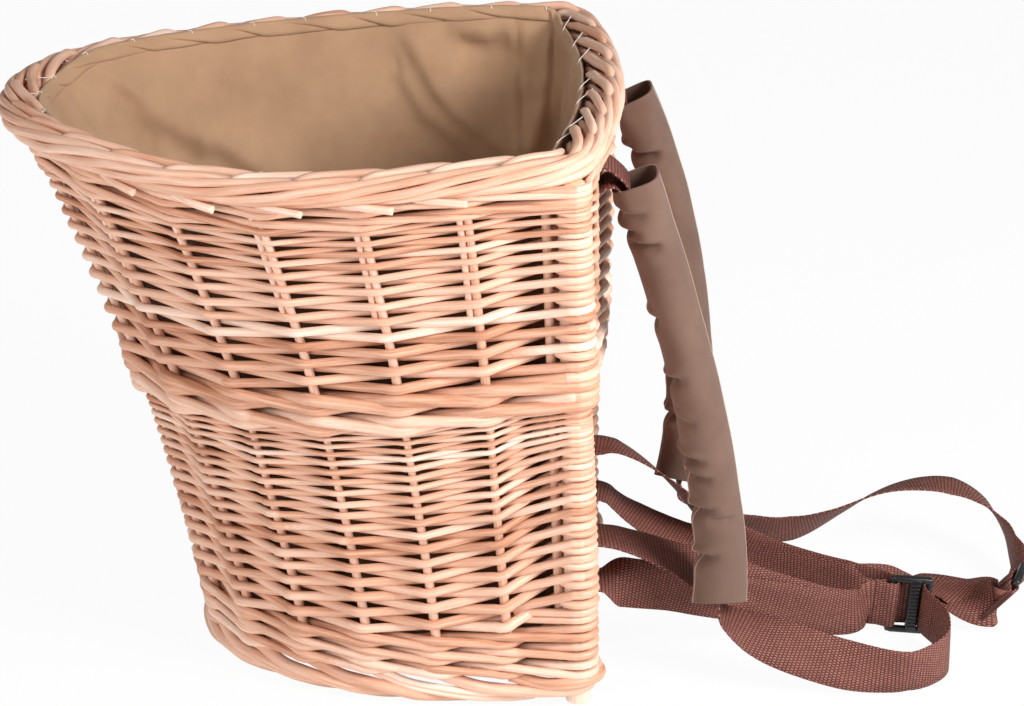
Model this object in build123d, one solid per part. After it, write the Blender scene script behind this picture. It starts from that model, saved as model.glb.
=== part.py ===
# Wicker back basket: a D-shaped willow basket on two corner posts, with a cotton lining and two
# shoulder straps of webbing that run through padded sleeves and close in ladder buckles.
from build123d import *
import math
import os

# Overall form, in millimetres. The back wall stands on the line y = 0, the front curves towards -Y.
RIM_HEIGHT = 450.0
BACK_WIDTH_TOP = 380.0
BACK_WIDTH_BASE = 264.0
DEPTH_TOP = 424.0
DEPTH_BASE = 296.0
BELLY_TOP = 0.48
BELLY_BASE = 0.36
ROUNDNESS = 1.6
FLARE = 0.55
CORNER_RADIUS = 30.0
CORNER_STEPS = 4
OUTLINE_STEPS = 600

# Heights of the bands of weave, from the floor up.
FOOT_HEIGHT = 24.0
FOOT_ROD = 9.0
HOOP_HEIGHT = 8.0
HOOP_WIDTH = 8.0
MID_BAND_HEIGHT = 221.0
BORDER_HEIGHT = 24.0
BORDER_TOP_ROD = 11.0
BOTTOM_WALE_ROWS = 3
MID_WALE_ROWS = 4
TOP_WALE_ROWS = 3
LOWER_ROWS = 19
UPPER_ROWS = 17
WALE_PITCH = 7.4

# Willow rods.
POST_RADIUS = 12.0
STAKE_RADIUS = 3.5
PAIR_GAP = 0.4
WEAVER = 6.0
ROW_GAP = 0.6
ROD_GAP = 0.4
SHOULDER = 1.1
PAIR_SHOULDER = 2.8
BESIDE_POST = 2.0
SEAT_GAP = 0.3
ROD_SIDES = 6
STAKE_SEGMENTS = 8
HALF_STAKES = 7
BACK_STAKES = (-0.73, -0.37, 0.0, 0.37, 0.73)
POST_WRAP = 15.0

# Foot and base.
PEG_RADIUS = 4.0
PEG_LEAN = 18.0
STICK = (8.0, 6.0)
STICK_SPACING = 44.0
STICK_COUNT = 6
SPLINT = (13.0, 4.0)
SPLINT_GAP = 1.2
SPLINT_INSET = 14.0

# Border rods.
BORDER_OUTER = (4.0, 13.0)
BORDER_INNER = (-16.5, -7.5)
TURN_DOWN_WIDTH = 7.5
TURN_DOWN_REACH = (-9.5, 8.5)
TURN_DOWN_STEP = 31.0
TURN_DOWN_SPAN = 44.0

# Cotton lining.
LINING_INSET = 18.0
CLOTH = 1.5
HEM_HEIGHT = 18.0
LINING_BELOW_RIM = 3.0
LINING_LEVELS = 6

# Webbing, padded sleeves and buckles.
WEB_WIDTH = 38.0
WEB_THICK = 1.6
STRAP_SLOT = 2.4
STRAP_SHARE = 0.55
ANCHOR_ROWS = (1, 6)
LOOP_INSIDE = 13.3
LOOP_OUTSIDE = 16.0
LOOP_REACH = 31.0
LOOP_DROP = 20.0
LEAD = 10.0
PAD_BELOW_TIP = (2.5, 5.0)
PAD_WIDTH = 50.0
PAD_DEPTH = 41.0
COVER_WALL = 1.8
PAD_SIDES = 12
PAD_STEPS = 6
FREE_STEPS = 24
STRAND_STEPS = 16
BUCKLE_LENGTH = 33.0
BUCKLE_WIDTH = 48.0
BUCKLE_THICK = 5.0
BUCKLE_RAIL = 4.5
BUCKLE_BAR = 5.0
BUCKLE_LIP = 3.0

# Routes of the straps, as points with the direction in which the webbing's width lies there.
RIGHT, LEFT = 1, -1
SIDE_NAMES = {RIGHT: "right", LEFT: "left"}
PAD_MIDDLE = {RIGHT: (80.0, 222.0), LEFT: (80.5, 235.0)}
PAD_END = {RIGHT: (95.0, 66.0), LEFT: (71.0, 73.0)}
BUCKLE_CENTRE = {RIGHT: (30.0, 246.0, 25.0), LEFT: (3.0, 322.0, 23.0)}
BUCKLE_ALONG = {RIGHT: (0.0, 1.0, 0.0), LEFT: (-0.95, 0.31, 0.0)}
BUCKLE_ACROSS = {RIGHT: (0.0, 0.0, 1.0), LEFT: (0.0, 0.66, 0.75)}
FLAT, TILTED, ON_EDGE = (1.0, 0.0, 0.0), (0.7, 0.0, 0.7), (0.0, 0.0, 1.0)
LEANING, ARCHED, FALLING = (0.5, 0.0, 0.85), (0.92, 0.0, 0.38), (0.3, 0.3, 0.9)
FREE_ROUTE = {
    RIGHT: [((106, 122, 43), TILTED), ((113, 152, 31), ON_EDGE), ((119, 186, 23), ON_EDGE),
            ((121, 219, 20), ON_EDGE), ((112, 250, 20), ON_EDGE), ((90, 273, 20), ON_EDGE),
            ((62, 285, 22), ON_EDGE), ((38, 284, 24), ON_EDGE)],
    LEFT: [((-101, 94, 42), TILTED), ((-98, 128, 32), LEANING), ((-98, 170, 34), LEANING),
           ((-103, 212, 49), ARCHED), ((-110, 250, 60), ARCHED), ((-113, 282, 62), ARCHED),
           ((-101, 311, 58), FALLING), ((-73, 330, 45), FALLING), ((-44, 336, 31), FALLING)],
}
LOW_STRAND = {
    RIGHT: [((63, 62, 58), TILTED), ((57, 110, 47), ON_EDGE), ((49, 158, 34), ON_EDGE),
            ((41, 196, 27), ON_EDGE)],
    LEFT: [((-61, 62, 56), TILTED), ((-45, 112, 41), ON_EDGE), ((-24, 162, 29), ON_EDGE),
           ((-5, 212, 23), ON_EDGE), ((10, 256, 22), ON_EDGE), ((22, 290, 22), ON_EDGE)],
}
HIGH_STRAND = {
    RIGHT: [((61, 62, 97), TILTED), ((53, 110, 73), ON_EDGE), ((42, 158, 48), ON_EDGE),
            ((33, 196, 31), ON_EDGE)],
    LEFT: [((-62, 62, 96), TILTED), ((-50, 112, 68), ON_EDGE), ((-31, 162, 45), ON_EDGE),
           ((-10, 212, 31), ON_EDGE), ((9, 254, 26), ON_EDGE), ((27, 289, 24), ON_EDGE)],
}

# Levels that follow from the sizes above.
hoop_top = FOOT_HEIGHT + HOOP_HEIGHT
bottom_wale_base = hoop_top + SEAT_GAP
lower_base = bottom_wale_base + BOTTOM_WALE_ROWS * WALE_PITCH
mid_wale_top = MID_BAND_HEIGHT + MID_WALE_ROWS * WALE_PITCH
border_base = RIM_HEIGHT - BORDER_HEIGHT
top_wale_top = border_base - STRAP_SLOT + ROW_GAP
top_wale_base = top_wale_top - TOP_WALE_ROWS * WALE_PITCH
upper_top = top_wale_base - STRAP_SLOT + ROW_GAP
lower_pitch = (MID_BAND_HEIGHT - lower_base - len(ANCHOR_ROWS) * STRAP_SLOT) / LOWER_ROWS
upper_pitch = (upper_top - mid_wale_top) / UPPER_ROWS
pair_shift = STAKE_RADIUS + PAIR_GAP / 2
lining_top = RIM_HEIGHT - LINING_BELOW_RIM


def half_back(z):
    """Half the width of the back wall between its posts at height z."""
    share = z / RIM_HEIGHT
    return (BACK_WIDTH_BASE + (BACK_WIDTH_TOP - BACK_WIDTH_BASE) * share) / 2


def front_depth(z):
    """Distance from the back wall to the front of the stake line at height z."""
    share = z / RIM_HEIGHT
    growth = (1 - FLARE) * share + FLARE * share * share
    return DEPTH_BASE + (DEPTH_TOP - DEPTH_BASE) * growth


def wall_point(reach, side, z):
    """Point of the stake line at a share of the depth, 0 at the post and 1 at the front."""
    belly = BELLY_BASE + (BELLY_TOP - BELLY_BASE) * z / RIM_HEIGHT
    swell = math.sqrt(max(0.0, 1 - reach ** ROUNDNESS)) * (1 + belly * reach)
    return Vector(side * half_back(z) * swell, -reach * front_depth(z), z)


def wall_tangent(reach, side, z):
    """Direction along the stake line, towards the front, in plan."""
    if reach > 0.999:
        return Vector(-1, 0, 0)
    step = 0.0005
    ahead = wall_point(reach + step, side, z)
    return (ahead - wall_point(max(0.0, reach - step), side, z)).normalized()


def reach_at(distance, z):
    """Share of the depth at an arc length from the post, measured along the stake line."""
    walked = 0.0
    last = wall_point(0, RIGHT, z)
    for index in range(1, OUTLINE_STEPS + 1):
        point = wall_point(index / OUTLINE_STEPS, RIGHT, z)
        walked += (point - last).length
        last = point
        if walked >= distance:
            return index / OUTLINE_STEPS
    return 1.0


def half_length(z):
    """Arc length of the stake line from one post to the middle of the front."""
    points = [wall_point(index / OUTLINE_STEPS, RIGHT, z) for index in range(OUTLINE_STEPS + 1)]
    return sum((b - a).length for a, b in zip(points, points[1:]))


middle_length = half_length(RIM_HEIGHT / 2)
STATIONS = [reach_at(middle_length * n / HALF_STAKES, RIM_HEIGHT / 2) for n in range(1, HALF_STAKES)]
FRONT = [("front", reach, RIGHT) for reach in STATIONS] + [("front", 1.0, RIGHT)]
FRONT += [("front", reach, LEFT) for reach in reversed(STATIONS)]
BACK = [("back", share, 0) for share in BACK_STAKES]


def axis_point(station, z):
    """Middle of a stake, or of a pair of stakes, at height z."""
    kind, share, side = station
    if kind == "back":
        return Vector(share * half_back(z), 0, z)
    return wall_point(share, side, z)


def outward(station, z):
    """Direction out of the wall at a stake, in plan."""
    kind, share, side = station
    if kind == "back":
        return Vector(0, 1, 0)
    along = wall_tangent(share, side, z)
    return Vector(-side * along.Y, side * along.X, 0)


def beside(station, z):
    """Direction along the wall in which a stake stands off the middle of its pair."""
    kind, share, side = station
    if kind == "back":
        return Vector(1, 0, 0) if share >= 0 else Vector(-1, 0, 0)
    return -wall_tangent(share, side, z)


def lean(station, z):
    """How far a stake moves outwards for each millimetre of height."""
    shift = axis_point(station, z + 1) - axis_point(station, z - 1)
    return abs(shift.dot(outward(station, z))) / 2


def polygon(points):
    """Flat face inside a closed run of points."""
    return Face(Wire.make_polygon(points, close=True))


def ring_face(outer, inner):
    """Flat face between two closed runs of points."""
    return Face(Wire.make_polygon(outer, close=True), [Wire.make_polygon(inner, close=True)])


def facet_loft(sections):
    """Solid with flat facets through like polygons, its opposite sides split along one diagonal."""
    faces = [polygon(sections[0]), polygon(sections[-1])]
    for near, far in zip(sections, sections[1:]):
        for n in range(len(near)):
            a, b, c, d = near[n - 1], near[n], far[n], far[n - 1]
            halves = [(a, b, c), (a, c, d)] if n < len(near) / 2 else [(a, b, d), (b, c, d)]
            faces += [polygon(half) for half in halves]
    return Solid(Shell(faces))


def box_section(plane, width, thickness):
    """Corners of a flat bar's section in a plane."""
    corners = [(-1, -1), (1, -1), (1, 1), (-1, 1)]
    return [plane.from_local_coords(Vector(x * width / 2, y * thickness / 2, 0)) for x, y in corners]


def at_level(point, z):
    """The same place in plan, at height z."""
    return Vector(point.X, point.Y, z)


def upright(face, height):
    """Solid that stands on a flat face."""
    return extrude(face, height, dir=(0, 0, 1))


def post_normals(side, z):
    """Three directions in which a weaver goes round the outside of a corner post."""
    normal = outward(("front", 0.0, side), z)
    first = math.degrees(math.atan2(normal.Y, side * normal.X)) - POST_WRAP
    last = 90 + POST_WRAP
    angles = [first, (first + last) / 2, last]
    turns = [Vector(side * math.cos(math.radians(a)), math.sin(math.radians(a)), 0) for a in angles]
    return turns, math.radians((last - first) / 4)


def weave_row(base, height, goes_outside, paired):
    """One round of weaver, passing outside or inside each stake and outside both posts."""
    z = base + height / 2
    outer, inner = [], []

    def pass_by(point, normal, offset):
        outer.append(at_level(point + normal * (offset + WEAVER / 2), base))
        inner.append(at_level(point + normal * (offset - WEAVER / 2), base))

    def wrap_post(side):
        normals, half_turn = post_normals(side, z)
        tilt = (BACK_WIDTH_TOP - BACK_WIDTH_BASE) / 2 / RIM_HEIGHT * height / 2
        offset = (POST_RADIUS + ROD_GAP + tilt) / math.cos(half_turn) + WEAVER / 2
        for normal in (reversed(normals) if side == RIGHT else normals):
            pass_by(Vector(side * half_back(z), 0, z), normal, offset)

    def weave(stations, first):
        for index, station in enumerate(stations):
            point = axis_point(station, z)
            point += Vector() if paired else beside(station, z) * pair_shift
            shoulder = PAIR_SHOULDER if paired else SHOULDER
            offset = STAKE_RADIUS + ROD_GAP + shoulder + lean(station, z) * height / 2 + WEAVER / 2
            if goes_outside(first + index):
                pass_by(point, outward(station, z), offset)
            else:
                end = index in (0, len(stations) - 1)
                pass_by(point, outward(station, z), -offset - (BESIDE_POST if end else 0))

    wrap_post(RIGHT)
    weave(FRONT, 0)
    wrap_post(LEFT)
    weave(BACK, len(FRONT))
    return upright(ring_face(outer, inner), height)


def siding(base, pitch, count, paired, slots=()):
    """Plain weave: each round passes the stakes on the other side from the round below."""
    rows = []
    level = base
    for row in range(count):
        level += STRAP_SLOT if row in slots else 0
        rows.append(weave_row(level, pitch - ROW_GAP, lambda n: (n + row) % 2 == 0, paired))
        level += pitch
    return rows


def wale(base, count, paired):
    """Three-rod waling: each round passes outside two stakes and inside one."""
    return [weave_row(base + row * WALE_PITCH, WALE_PITCH - ROW_GAP, lambda n: (n + row) % 3 != 0, paired)
            for row in range(count)]


def stake(station, shift, low, high):
    """Willow rod that follows the lean of the wall between two heights."""
    sections = []
    for n in range(STAKE_SEGMENTS + 1):
        z = low + (high - low) * n / STAKE_SEGMENTS
        centre = axis_point(station, z) + beside(station, z) * shift
        sections.append(Pos(*centre) * RegularPolygon(STAKE_RADIUS, ROD_SIDES))
    return loft(sections, ruled=True)


def post(side):
    """Stout corner post, cut flat at the floor and under the border."""
    top = border_base - SEAT_GAP
    foot = Pos(side * half_back(0), 0, 0) * Circle(POST_RADIUS)
    head = Pos(side * half_back(top), 0, top) * Circle(POST_RADIUS)
    return loft([foot, head], ruled=True)


def front_run(z, inset):
    """Points round the front from post to post, with the stake line's own spacing, and their normals."""
    first = reach_at(inset, z)
    reaches = [first]
    for reach in STATIONS + [1.0]:
        reaches += [(reaches[-1] + reach) / 2, reach]
    marks = [("front", reach, RIGHT) for reach in reaches]
    marks += [("front", reach, LEFT) for reach in reversed(reaches[:-1])]
    return [(axis_point(mark, z), outward(mark, z)) for mark in marks]


def front_rod(base, height, width):
    """Rod that runs round the front, from one corner post to the other."""
    run = front_run(base + height / 2, POST_RADIUS + SEAT_GAP)
    outer = [point + normal * width / 2 for point, normal in run]
    inner = [point - normal * width / 2 for point, normal in reversed(run)]
    return upright(polygon([at_level(point, base) for point in outer + inner]), height)


def back_rod(base, height, width):
    """Straight rod between the corner posts."""
    length = 2 * (half_back(base) - POST_RADIUS - SEAT_GAP)
    return Pos(0, 0, base + height / 2) * Box(length, width, height)


def peg(station):
    """Short slanted rod that carries the hoop on the foot rod."""
    low, high = FOOT_ROD + SEAT_GAP, FOOT_HEIGHT - SEAT_GAP
    foot = axis_point(station, low) - beside(station, low) * PEG_LEAN / 2
    head = axis_point(station, high) + beside(station, high) * PEG_LEAN / 2
    section = RegularPolygon(PEG_RADIUS, ROD_SIDES)
    return loft([Pos(*foot) * section, Pos(*head) * section], ruled=True)


base_level = FOOT_HEIGHT + HOOP_HEIGHT / 2
splint_swing = STICK[1] / 2 + ROD_GAP + SHOULDER + SPLINT[1] / 2
lining_floor = base_level + splint_swing + SPLINT[1] / 2 + SEAT_GAP
STICKS = [STICK_SPACING * (n - (STICK_COUNT - 1) / 2) for n in range(STICK_COUNT)]


def depth_at(x):
    """Depth of the stake line over a stick at x, at the base's level."""
    reaches = [n / OUTLINE_STEPS for n in range(OUTLINE_STEPS + 1)]
    inside = [reach for reach in reaches if wall_point(reach, RIGHT, base_level).X >= abs(x)]
    return max(inside) * front_depth(base_level)


def base_stick(x):
    """Flat stick of the base, from the back rod to the hoop at the front."""
    back = HOOP_WIDTH / 2 + SEAT_GAP
    edge = abs(x) + STICK[0] / 2
    reach = depth_at(edge) / front_depth(base_level)
    normal = outward(("front", min(reach, 1.0), RIGHT), base_level)
    front = depth_at(edge) - (HOOP_WIDTH / 2 + 3 * SEAT_GAP) / -normal.Y
    middle = Pos(x, -(back + front) / 2, base_level)
    return middle * Box(STICK[0], front - back, STICK[1])


def base_splint(y, row):
    """Split rod woven across the sticks of the base."""
    near, far = y + SPLINT[0] / 2, y - SPLINT[0] / 2
    reaches = [-edge / front_depth(base_level) for edge in (near, far)]
    limit = min(wall_point(reach, RIGHT, base_level).X for reach in reaches) - SPLINT_INSET
    crossed = [(n, x) for n, x in enumerate(STICKS) if abs(x) + STICK[0] / 2 < limit]
    line = [(x, splint_swing * (1 if (n + row) % 2 else -1)) for n, x in crossed]
    line = [(-limit, line[0][1])] + line + [(limit, line[-1][1])]
    top = [Vector(x, near, base_level + rise + SPLINT[1] / 2) for x, rise in line]
    low = [Vector(x, near, base_level + rise - SPLINT[1] / 2) for x, rise in reversed(line)]
    return extrude(polygon(top + low), SPLINT[0], dir=(0, -1, 0))


def base_weave():
    """All the split rods of the base, from the back to where the front narrows."""
    splints = []
    step = SPLINT[0] + SPLINT_GAP
    y = -SPLINT_INSET - SPLINT[0] / 2
    shortest = STICK_SPACING / 2 + STICK[0] + SPLINT_INSET
    while True:
        reach = (SPLINT[0] / 2 - y) / front_depth(base_level)
        if reach >= 1 or wall_point(reach, RIGHT, base_level).X < shortest:
            return splints
        splints.append(base_splint(y, len(splints)))
        y -= step


def ring_points(z, offset):
    """Closed line round the basket at an offset from the stake line, with rounded back corners."""
    side_normal = outward(("front", 0.0, RIGHT), z)
    pull = CORNER_RADIUS * (1 - side_normal.Y) / side_normal.X
    centre = Vector(half_back(z) - pull, -CORNER_RADIUS, z)
    last = math.degrees(math.atan2(side_normal.Y, side_normal.X))
    half = []
    for n in range(CORNER_STEPS + 1):
        angle = math.radians(90 + (last - 90) * n / CORNER_STEPS)
        half.append(centre + Vector(math.cos(angle), math.sin(angle), 0) * (CORNER_RADIUS + offset))
    run = front_run(z, CORNER_RADIUS * 2)
    half += [point + normal * offset for point, normal in run[:len(run) // 2]]
    front = run[len(run) // 2]
    return half + [front[0] + front[1] * offset] + [Vector(-p.X, p.Y, p.Z) for p in reversed(half)]


def wall_band(levels, outer_offset, inner_offset):
    """Ring that follows the lean of the wall between two offsets from the stake line."""
    outer = loft([polygon(ring_points(z, outer_offset)) for z in levels], ruled=True)
    inner = loft([polygon(ring_points(z, inner_offset)) for z in levels], ruled=True)
    return outer - inner


def turn_downs():
    """Rods of the border's top course, each slanting from the inside to the outside of the rim."""
    height = BORDER_TOP_ROD
    base = RIM_HEIGHT - height
    line = [at_level(point, base) for point in ring_points(base + height / 2, 0)]
    legs = list(zip(line, line[1:] + line[:1]))
    length = sum((b - a).length for a, b in legs)
    count = round(length / TURN_DOWN_STEP)

    def rim_place(distance, offset):
        distance %= length
        for a, b in legs:
            leg = (b - a).length
            if distance <= leg:
                along = (b - a).normalized()
                return a + along * distance + Vector(-along.Y, along.X, 0) * offset
            distance -= leg
        return line[0]

    rods = []
    for n in range(count):
        start = rim_place(n * length / count, TURN_DOWN_REACH[0])
        end = rim_place(n * length / count + TURN_DOWN_SPAN, TURN_DOWN_REACH[1])
        along = (end - start).normalized()
        across = Vector(-along.Y, along.X, 0) * TURN_DOWN_WIDTH / 2
        rods.append(upright(polygon([start - across, end - across, end + across, start + across]), height))
    return rods


def lining_side():
    """Cloth panel round the front and sides, up to the seams at the back corners."""
    sections = []
    for n in range(LINING_LEVELS):
        z = lining_floor + (lining_top - lining_floor) * n / (LINING_LEVELS - 1)
        outer = ring_points(z, -LINING_INSET)
        inner = ring_points(z, -LINING_INSET - CLOTH)
        sections.append(outer + inner[::-1])
    return facet_loft(sections)


def lining_back():
    """Flat cloth panel of the back, between the seams."""
    low, high = ring_points(lining_floor, -LINING_INSET)[0], ring_points(lining_top, -LINING_INSET)[0]
    edges = [(low.X, low.Z), (high.X, high.Z), (-high.X, high.Z), (-low.X, low.Z)]
    face = polygon([Vector(x - math.copysign(SEAT_GAP, x), low.Y, z) for x, z in edges])
    return extrude(face, CLOTH, dir=(0, -1, 0))


def lining_bottom():
    """Cloth panel on the base."""
    inset = LINING_INSET + CLOTH + SEAT_GAP
    return upright(polygon(ring_points(lining_floor, -inset)), CLOTH)


def lining_hem():
    """Folded edge of the lining along the rim."""
    outer = LINING_INSET + CLOTH + SEAT_GAP
    return wall_band([lining_top - HEM_HEIGHT, lining_top], -outer, -outer - CLOTH)


# Straps.
loop_high = border_base - (STRAP_SLOT - ROW_GAP) / 2 - ROW_GAP / 2
loop_low = top_wale_base - (STRAP_SLOT - ROW_GAP) / 2 - ROW_GAP / 2
anchor_levels = [lower_base + row * lower_pitch + n * STRAP_SLOT + (STRAP_SLOT - ROW_GAP) / 2
                 for n, row in enumerate(ANCHOR_ROWS)]
anchor_low, anchor_high = anchor_levels
loop_tip = (LOOP_REACH, border_base - LOOP_DROP)


def corner_radii(points):
    """Radius of each bend of a route, as large as its two runs allow."""
    radii = []
    for a, b, c in zip(points, points[1:], points[2:]):
        turn = math.radians((b - a).get_angle(c - b))
        radii.append(0.45 * min((b - a).length, (c - b).length) / math.tan(turn / 2))
    return radii


def width_direction(points, lays, share):
    """Direction of the webbing's width at a share of its route, between the stated ones."""
    runs = [(b - a).length for a, b in zip(points, points[1:])]
    left = share * sum(runs)
    for index, run in enumerate(runs):
        if left <= run or index == len(runs) - 1:
            part = min(1.0, left / run)
            return lays[index] * (1 - part) + lays[index + 1] * part
        left -= run


def ribbon(name, stops, steps):
    """Webbing along straight runs joined by tangent arcs, twisting as its stops say."""
    points = [Vector(*point) for point, lay in stops]
    lays = [Vector(*lay) for point, lay in stops]
    radii = corner_radii(points)
    path = FilletPolyline(*points, radius=radii)
    sections = []
    for n in range(steps + 1):
        along = path % (n / steps)
        across = width_direction(points, lays, n / steps)
        across = (across - along * across.dot(along)).normalized()
        plane = Plane(origin=path @ (n / steps), x_dir=across, z_dir=along)
        sections.append(box_section(plane, WEB_WIDTH, WEB_THICK))
    print(name, "length", round(path.length), "radii", [round(radius) for radius in radii])
    return facet_loft(sections)


def top_loop(side):
    """Webbing sewn into a loop round the top wale."""
    x = side * STRAP_SHARE * half_back(loop_high)
    line = [(-LOOP_INSIDE, loop_high), (LOOP_OUTSIDE, loop_high), loop_tip, (LOOP_OUTSIDE, loop_low),
            (-LOOP_INSIDE, loop_low)]
    face = polygon([Vector(x - WEB_WIDTH / 2, y, z) for y, z in line])
    band = offset(face, WEB_THICK / 2, kind=Kind.INTERSECTION) - offset(
        face, -WEB_THICK / 2, kind=Kind.INTERSECTION)
    return extrude(band, WEB_WIDTH, dir=(1, 0, 0))


def anchor_x(side):
    """Middle of the gap between two back stakes, where a strap goes through the lower siding."""
    return side * (STRAP_SHARE * half_back((anchor_low + anchor_high) / 2) + pair_shift)


def anchor_loop(side):
    """Webbing passed through the weave and round the rows of the lower siding."""
    x = anchor_x(side)
    half = WEB_THICK / 2
    inside, outside = -LOOP_INSIDE, LOOP_OUTSIDE
    line = [(outside, anchor_low - half), (inside - half, anchor_low - half),
            (inside - half, anchor_high + half), (outside, anchor_high + half),
            (outside, anchor_high - half), (inside + half, anchor_high - half),
            (inside + half, anchor_low + half), (outside, anchor_low + half)]
    face = polygon([Vector(x - WEB_WIDTH / 2, y, z) for y, z in line])
    return extrude(face, WEB_WIDTH, dir=(1, 0, 0))


def pad_path(side):
    """Arc along which a padded sleeve hangs from its loop."""
    x = side * STRAP_SHARE * half_back(loop_high)
    start = (x, loop_tip[0] + PAD_BELOW_TIP[0], loop_tip[1] - PAD_BELOW_TIP[1])
    return ThreePointArc(start, (x, *PAD_MIDDLE[side]), (x, *PAD_END[side]))


PAD_SHAPE = [(0.03, 0.92, 0.62), (0.08, 0.98, 0.86), (0.2, 1.0, 0.97), (0.5, 1.0, 1.0), (0.8, 1.0, 0.97),
             (0.93, 1.0, 0.9), (0.985, 0.98, 0.8)]


def pad_skin(side, shrink, shape):
    """Rounded sleeve that swells between its gathered ends, drawn in by an even wall."""
    path = pad_path(side)
    sections = []
    for share, wide, deep in shape:
        plane = Plane(origin=path @ share, x_dir=(1, 0, 0), z_dir=path % share)
        half_width = PAD_WIDTH / 2 * wide - shrink
        half_depth = PAD_DEPTH / 2 * deep - shrink
        turns = [2 * math.pi * (n + 0.5) / PAD_SIDES for n in range(PAD_SIDES)]
        rim = [Vector(half_width * math.cos(a), half_depth * math.sin(a), 0) for a in turns]
        sections.append([plane.from_local_coords(point) for point in rim])
    return facet_loft(sections)


def along_pad(side, width, thickness):
    """Bar that follows the sleeve from the loop's tip to its lower end."""
    path = pad_path(side)
    sections = []
    for n in range(PAD_STEPS + 1):
        plane = Plane(origin=path @ (n / PAD_STEPS), x_dir=(1, 0, 0), z_dir=path % (n / PAD_STEPS))
        sections.append(box_section(plane, width, thickness))
    return facet_loft(sections)


def pad_webbing(side):
    """Doubled webbing inside the sleeve."""
    return along_pad(side, WEB_WIDTH, 2 * WEB_THICK)


def pad_foam(side):
    """Soft core of the sleeve, slit for the webbing."""
    core = pad_skin(side, COVER_WALL + SEAT_GAP, PAD_SHAPE[1:-1])
    return core - along_pad(side, WEB_WIDTH + 2 * SEAT_GAP, 2 * (WEB_THICK + SEAT_GAP))


def pad_cover(side):
    """Cloth sleeve, open at both ends."""
    first, last = PAD_SHAPE[0], PAD_SHAPE[-1]
    through = [(0.0, *first[1:])] + PAD_SHAPE + [(1.0, *last[1:])]
    return pad_skin(side, 0, PAD_SHAPE) - pad_skin(side, COVER_WALL, through)


def buckle_plane(side):
    """Plane of a buckle: x along the strap, y along its bars."""
    along, across = Vector(*BUCKLE_ALONG[side]), Vector(*BUCKLE_ACROSS[side])
    return Plane(origin=BUCKLE_CENTRE[side], x_dir=along, z_dir=along.cross(across))


sewn_bar = -BUCKLE_LENGTH / 2 + BUCKLE_BAR / 2


def buckle(side):
    """Ladder buckle: two rails, a round sewn bar, a middle bar and a lipped front bar."""
    rail_offset = (BUCKLE_WIDTH - BUCKLE_RAIL) / 2
    front = BUCKLE_LENGTH / 2
    rail_length = front - sewn_bar
    frame = Pos(sewn_bar, 0, 0) * Rot(90, 0, 0) * Cylinder(BUCKLE_BAR / 2, BUCKLE_WIDTH)
    for y in (-rail_offset, rail_offset):
        frame += Pos((front + sewn_bar) / 2, y, 0) * Box(rail_length, BUCKLE_RAIL, BUCKLE_THICK)
    frame += Pos((front + sewn_bar) / 2, 0, 0) * Box(BUCKLE_BAR, BUCKLE_WIDTH, BUCKLE_THICK)
    lip = Pos(front - BUCKLE_BAR / 2, 0, BUCKLE_LIP / 2) * Box(
        BUCKLE_BAR, BUCKLE_WIDTH, BUCKLE_THICK + BUCKLE_LIP)
    return buckle_plane(side) * (frame + lip)


def strap_stops(side):
    """Stops of the three free stretches of one strap, tied to what holds their ends."""
    plane = buckle_plane(side)
    across = BUCKLE_ACROSS[side]
    path = pad_path(side)
    layer = side * (WEB_THICK + SEAT_GAP) / 2
    half = BUCKLE_LENGTH / 2 + SEAT_GAP
    x = anchor_x(side)

    def below_pad(distance):
        return path @ 1 + (path % 1) * distance, FLAT

    def beyond_buckle(along, offset):
        return plane.from_local_coords(Vector(along, 0, offset)), across

    def out_of_wall(level):
        first = LOOP_OUTSIDE + SEAT_GAP
        return [(Vector(x, first, level), FLAT), (Vector(x, first + LEAD, level), FLAT)]

    free = [below_pad(SEAT_GAP), below_pad(LEAD)] + FREE_ROUTE[side]
    free += [beyond_buckle(half + LEAD, 0), beyond_buckle(half, 0)]
    low = out_of_wall(anchor_low) + LOW_STRAND[side]
    low += [beyond_buckle(-half - LEAD, layer), beyond_buckle(-half, layer)]
    high = out_of_wall(anchor_high) + HIGH_STRAND[side]
    high += [beyond_buckle(-half - LEAD, -layer), beyond_buckle(-half, -layer)]
    return free, low, high


stake_span = (hoop_top + SEAT_GAP, border_base - SEAT_GAP)
bye_stake_span = (MID_BAND_HEIGHT, border_base - SEAT_GAP)
border_span = (border_base, RIM_HEIGHT - BORDER_TOP_ROD - SEAT_GAP)

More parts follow.
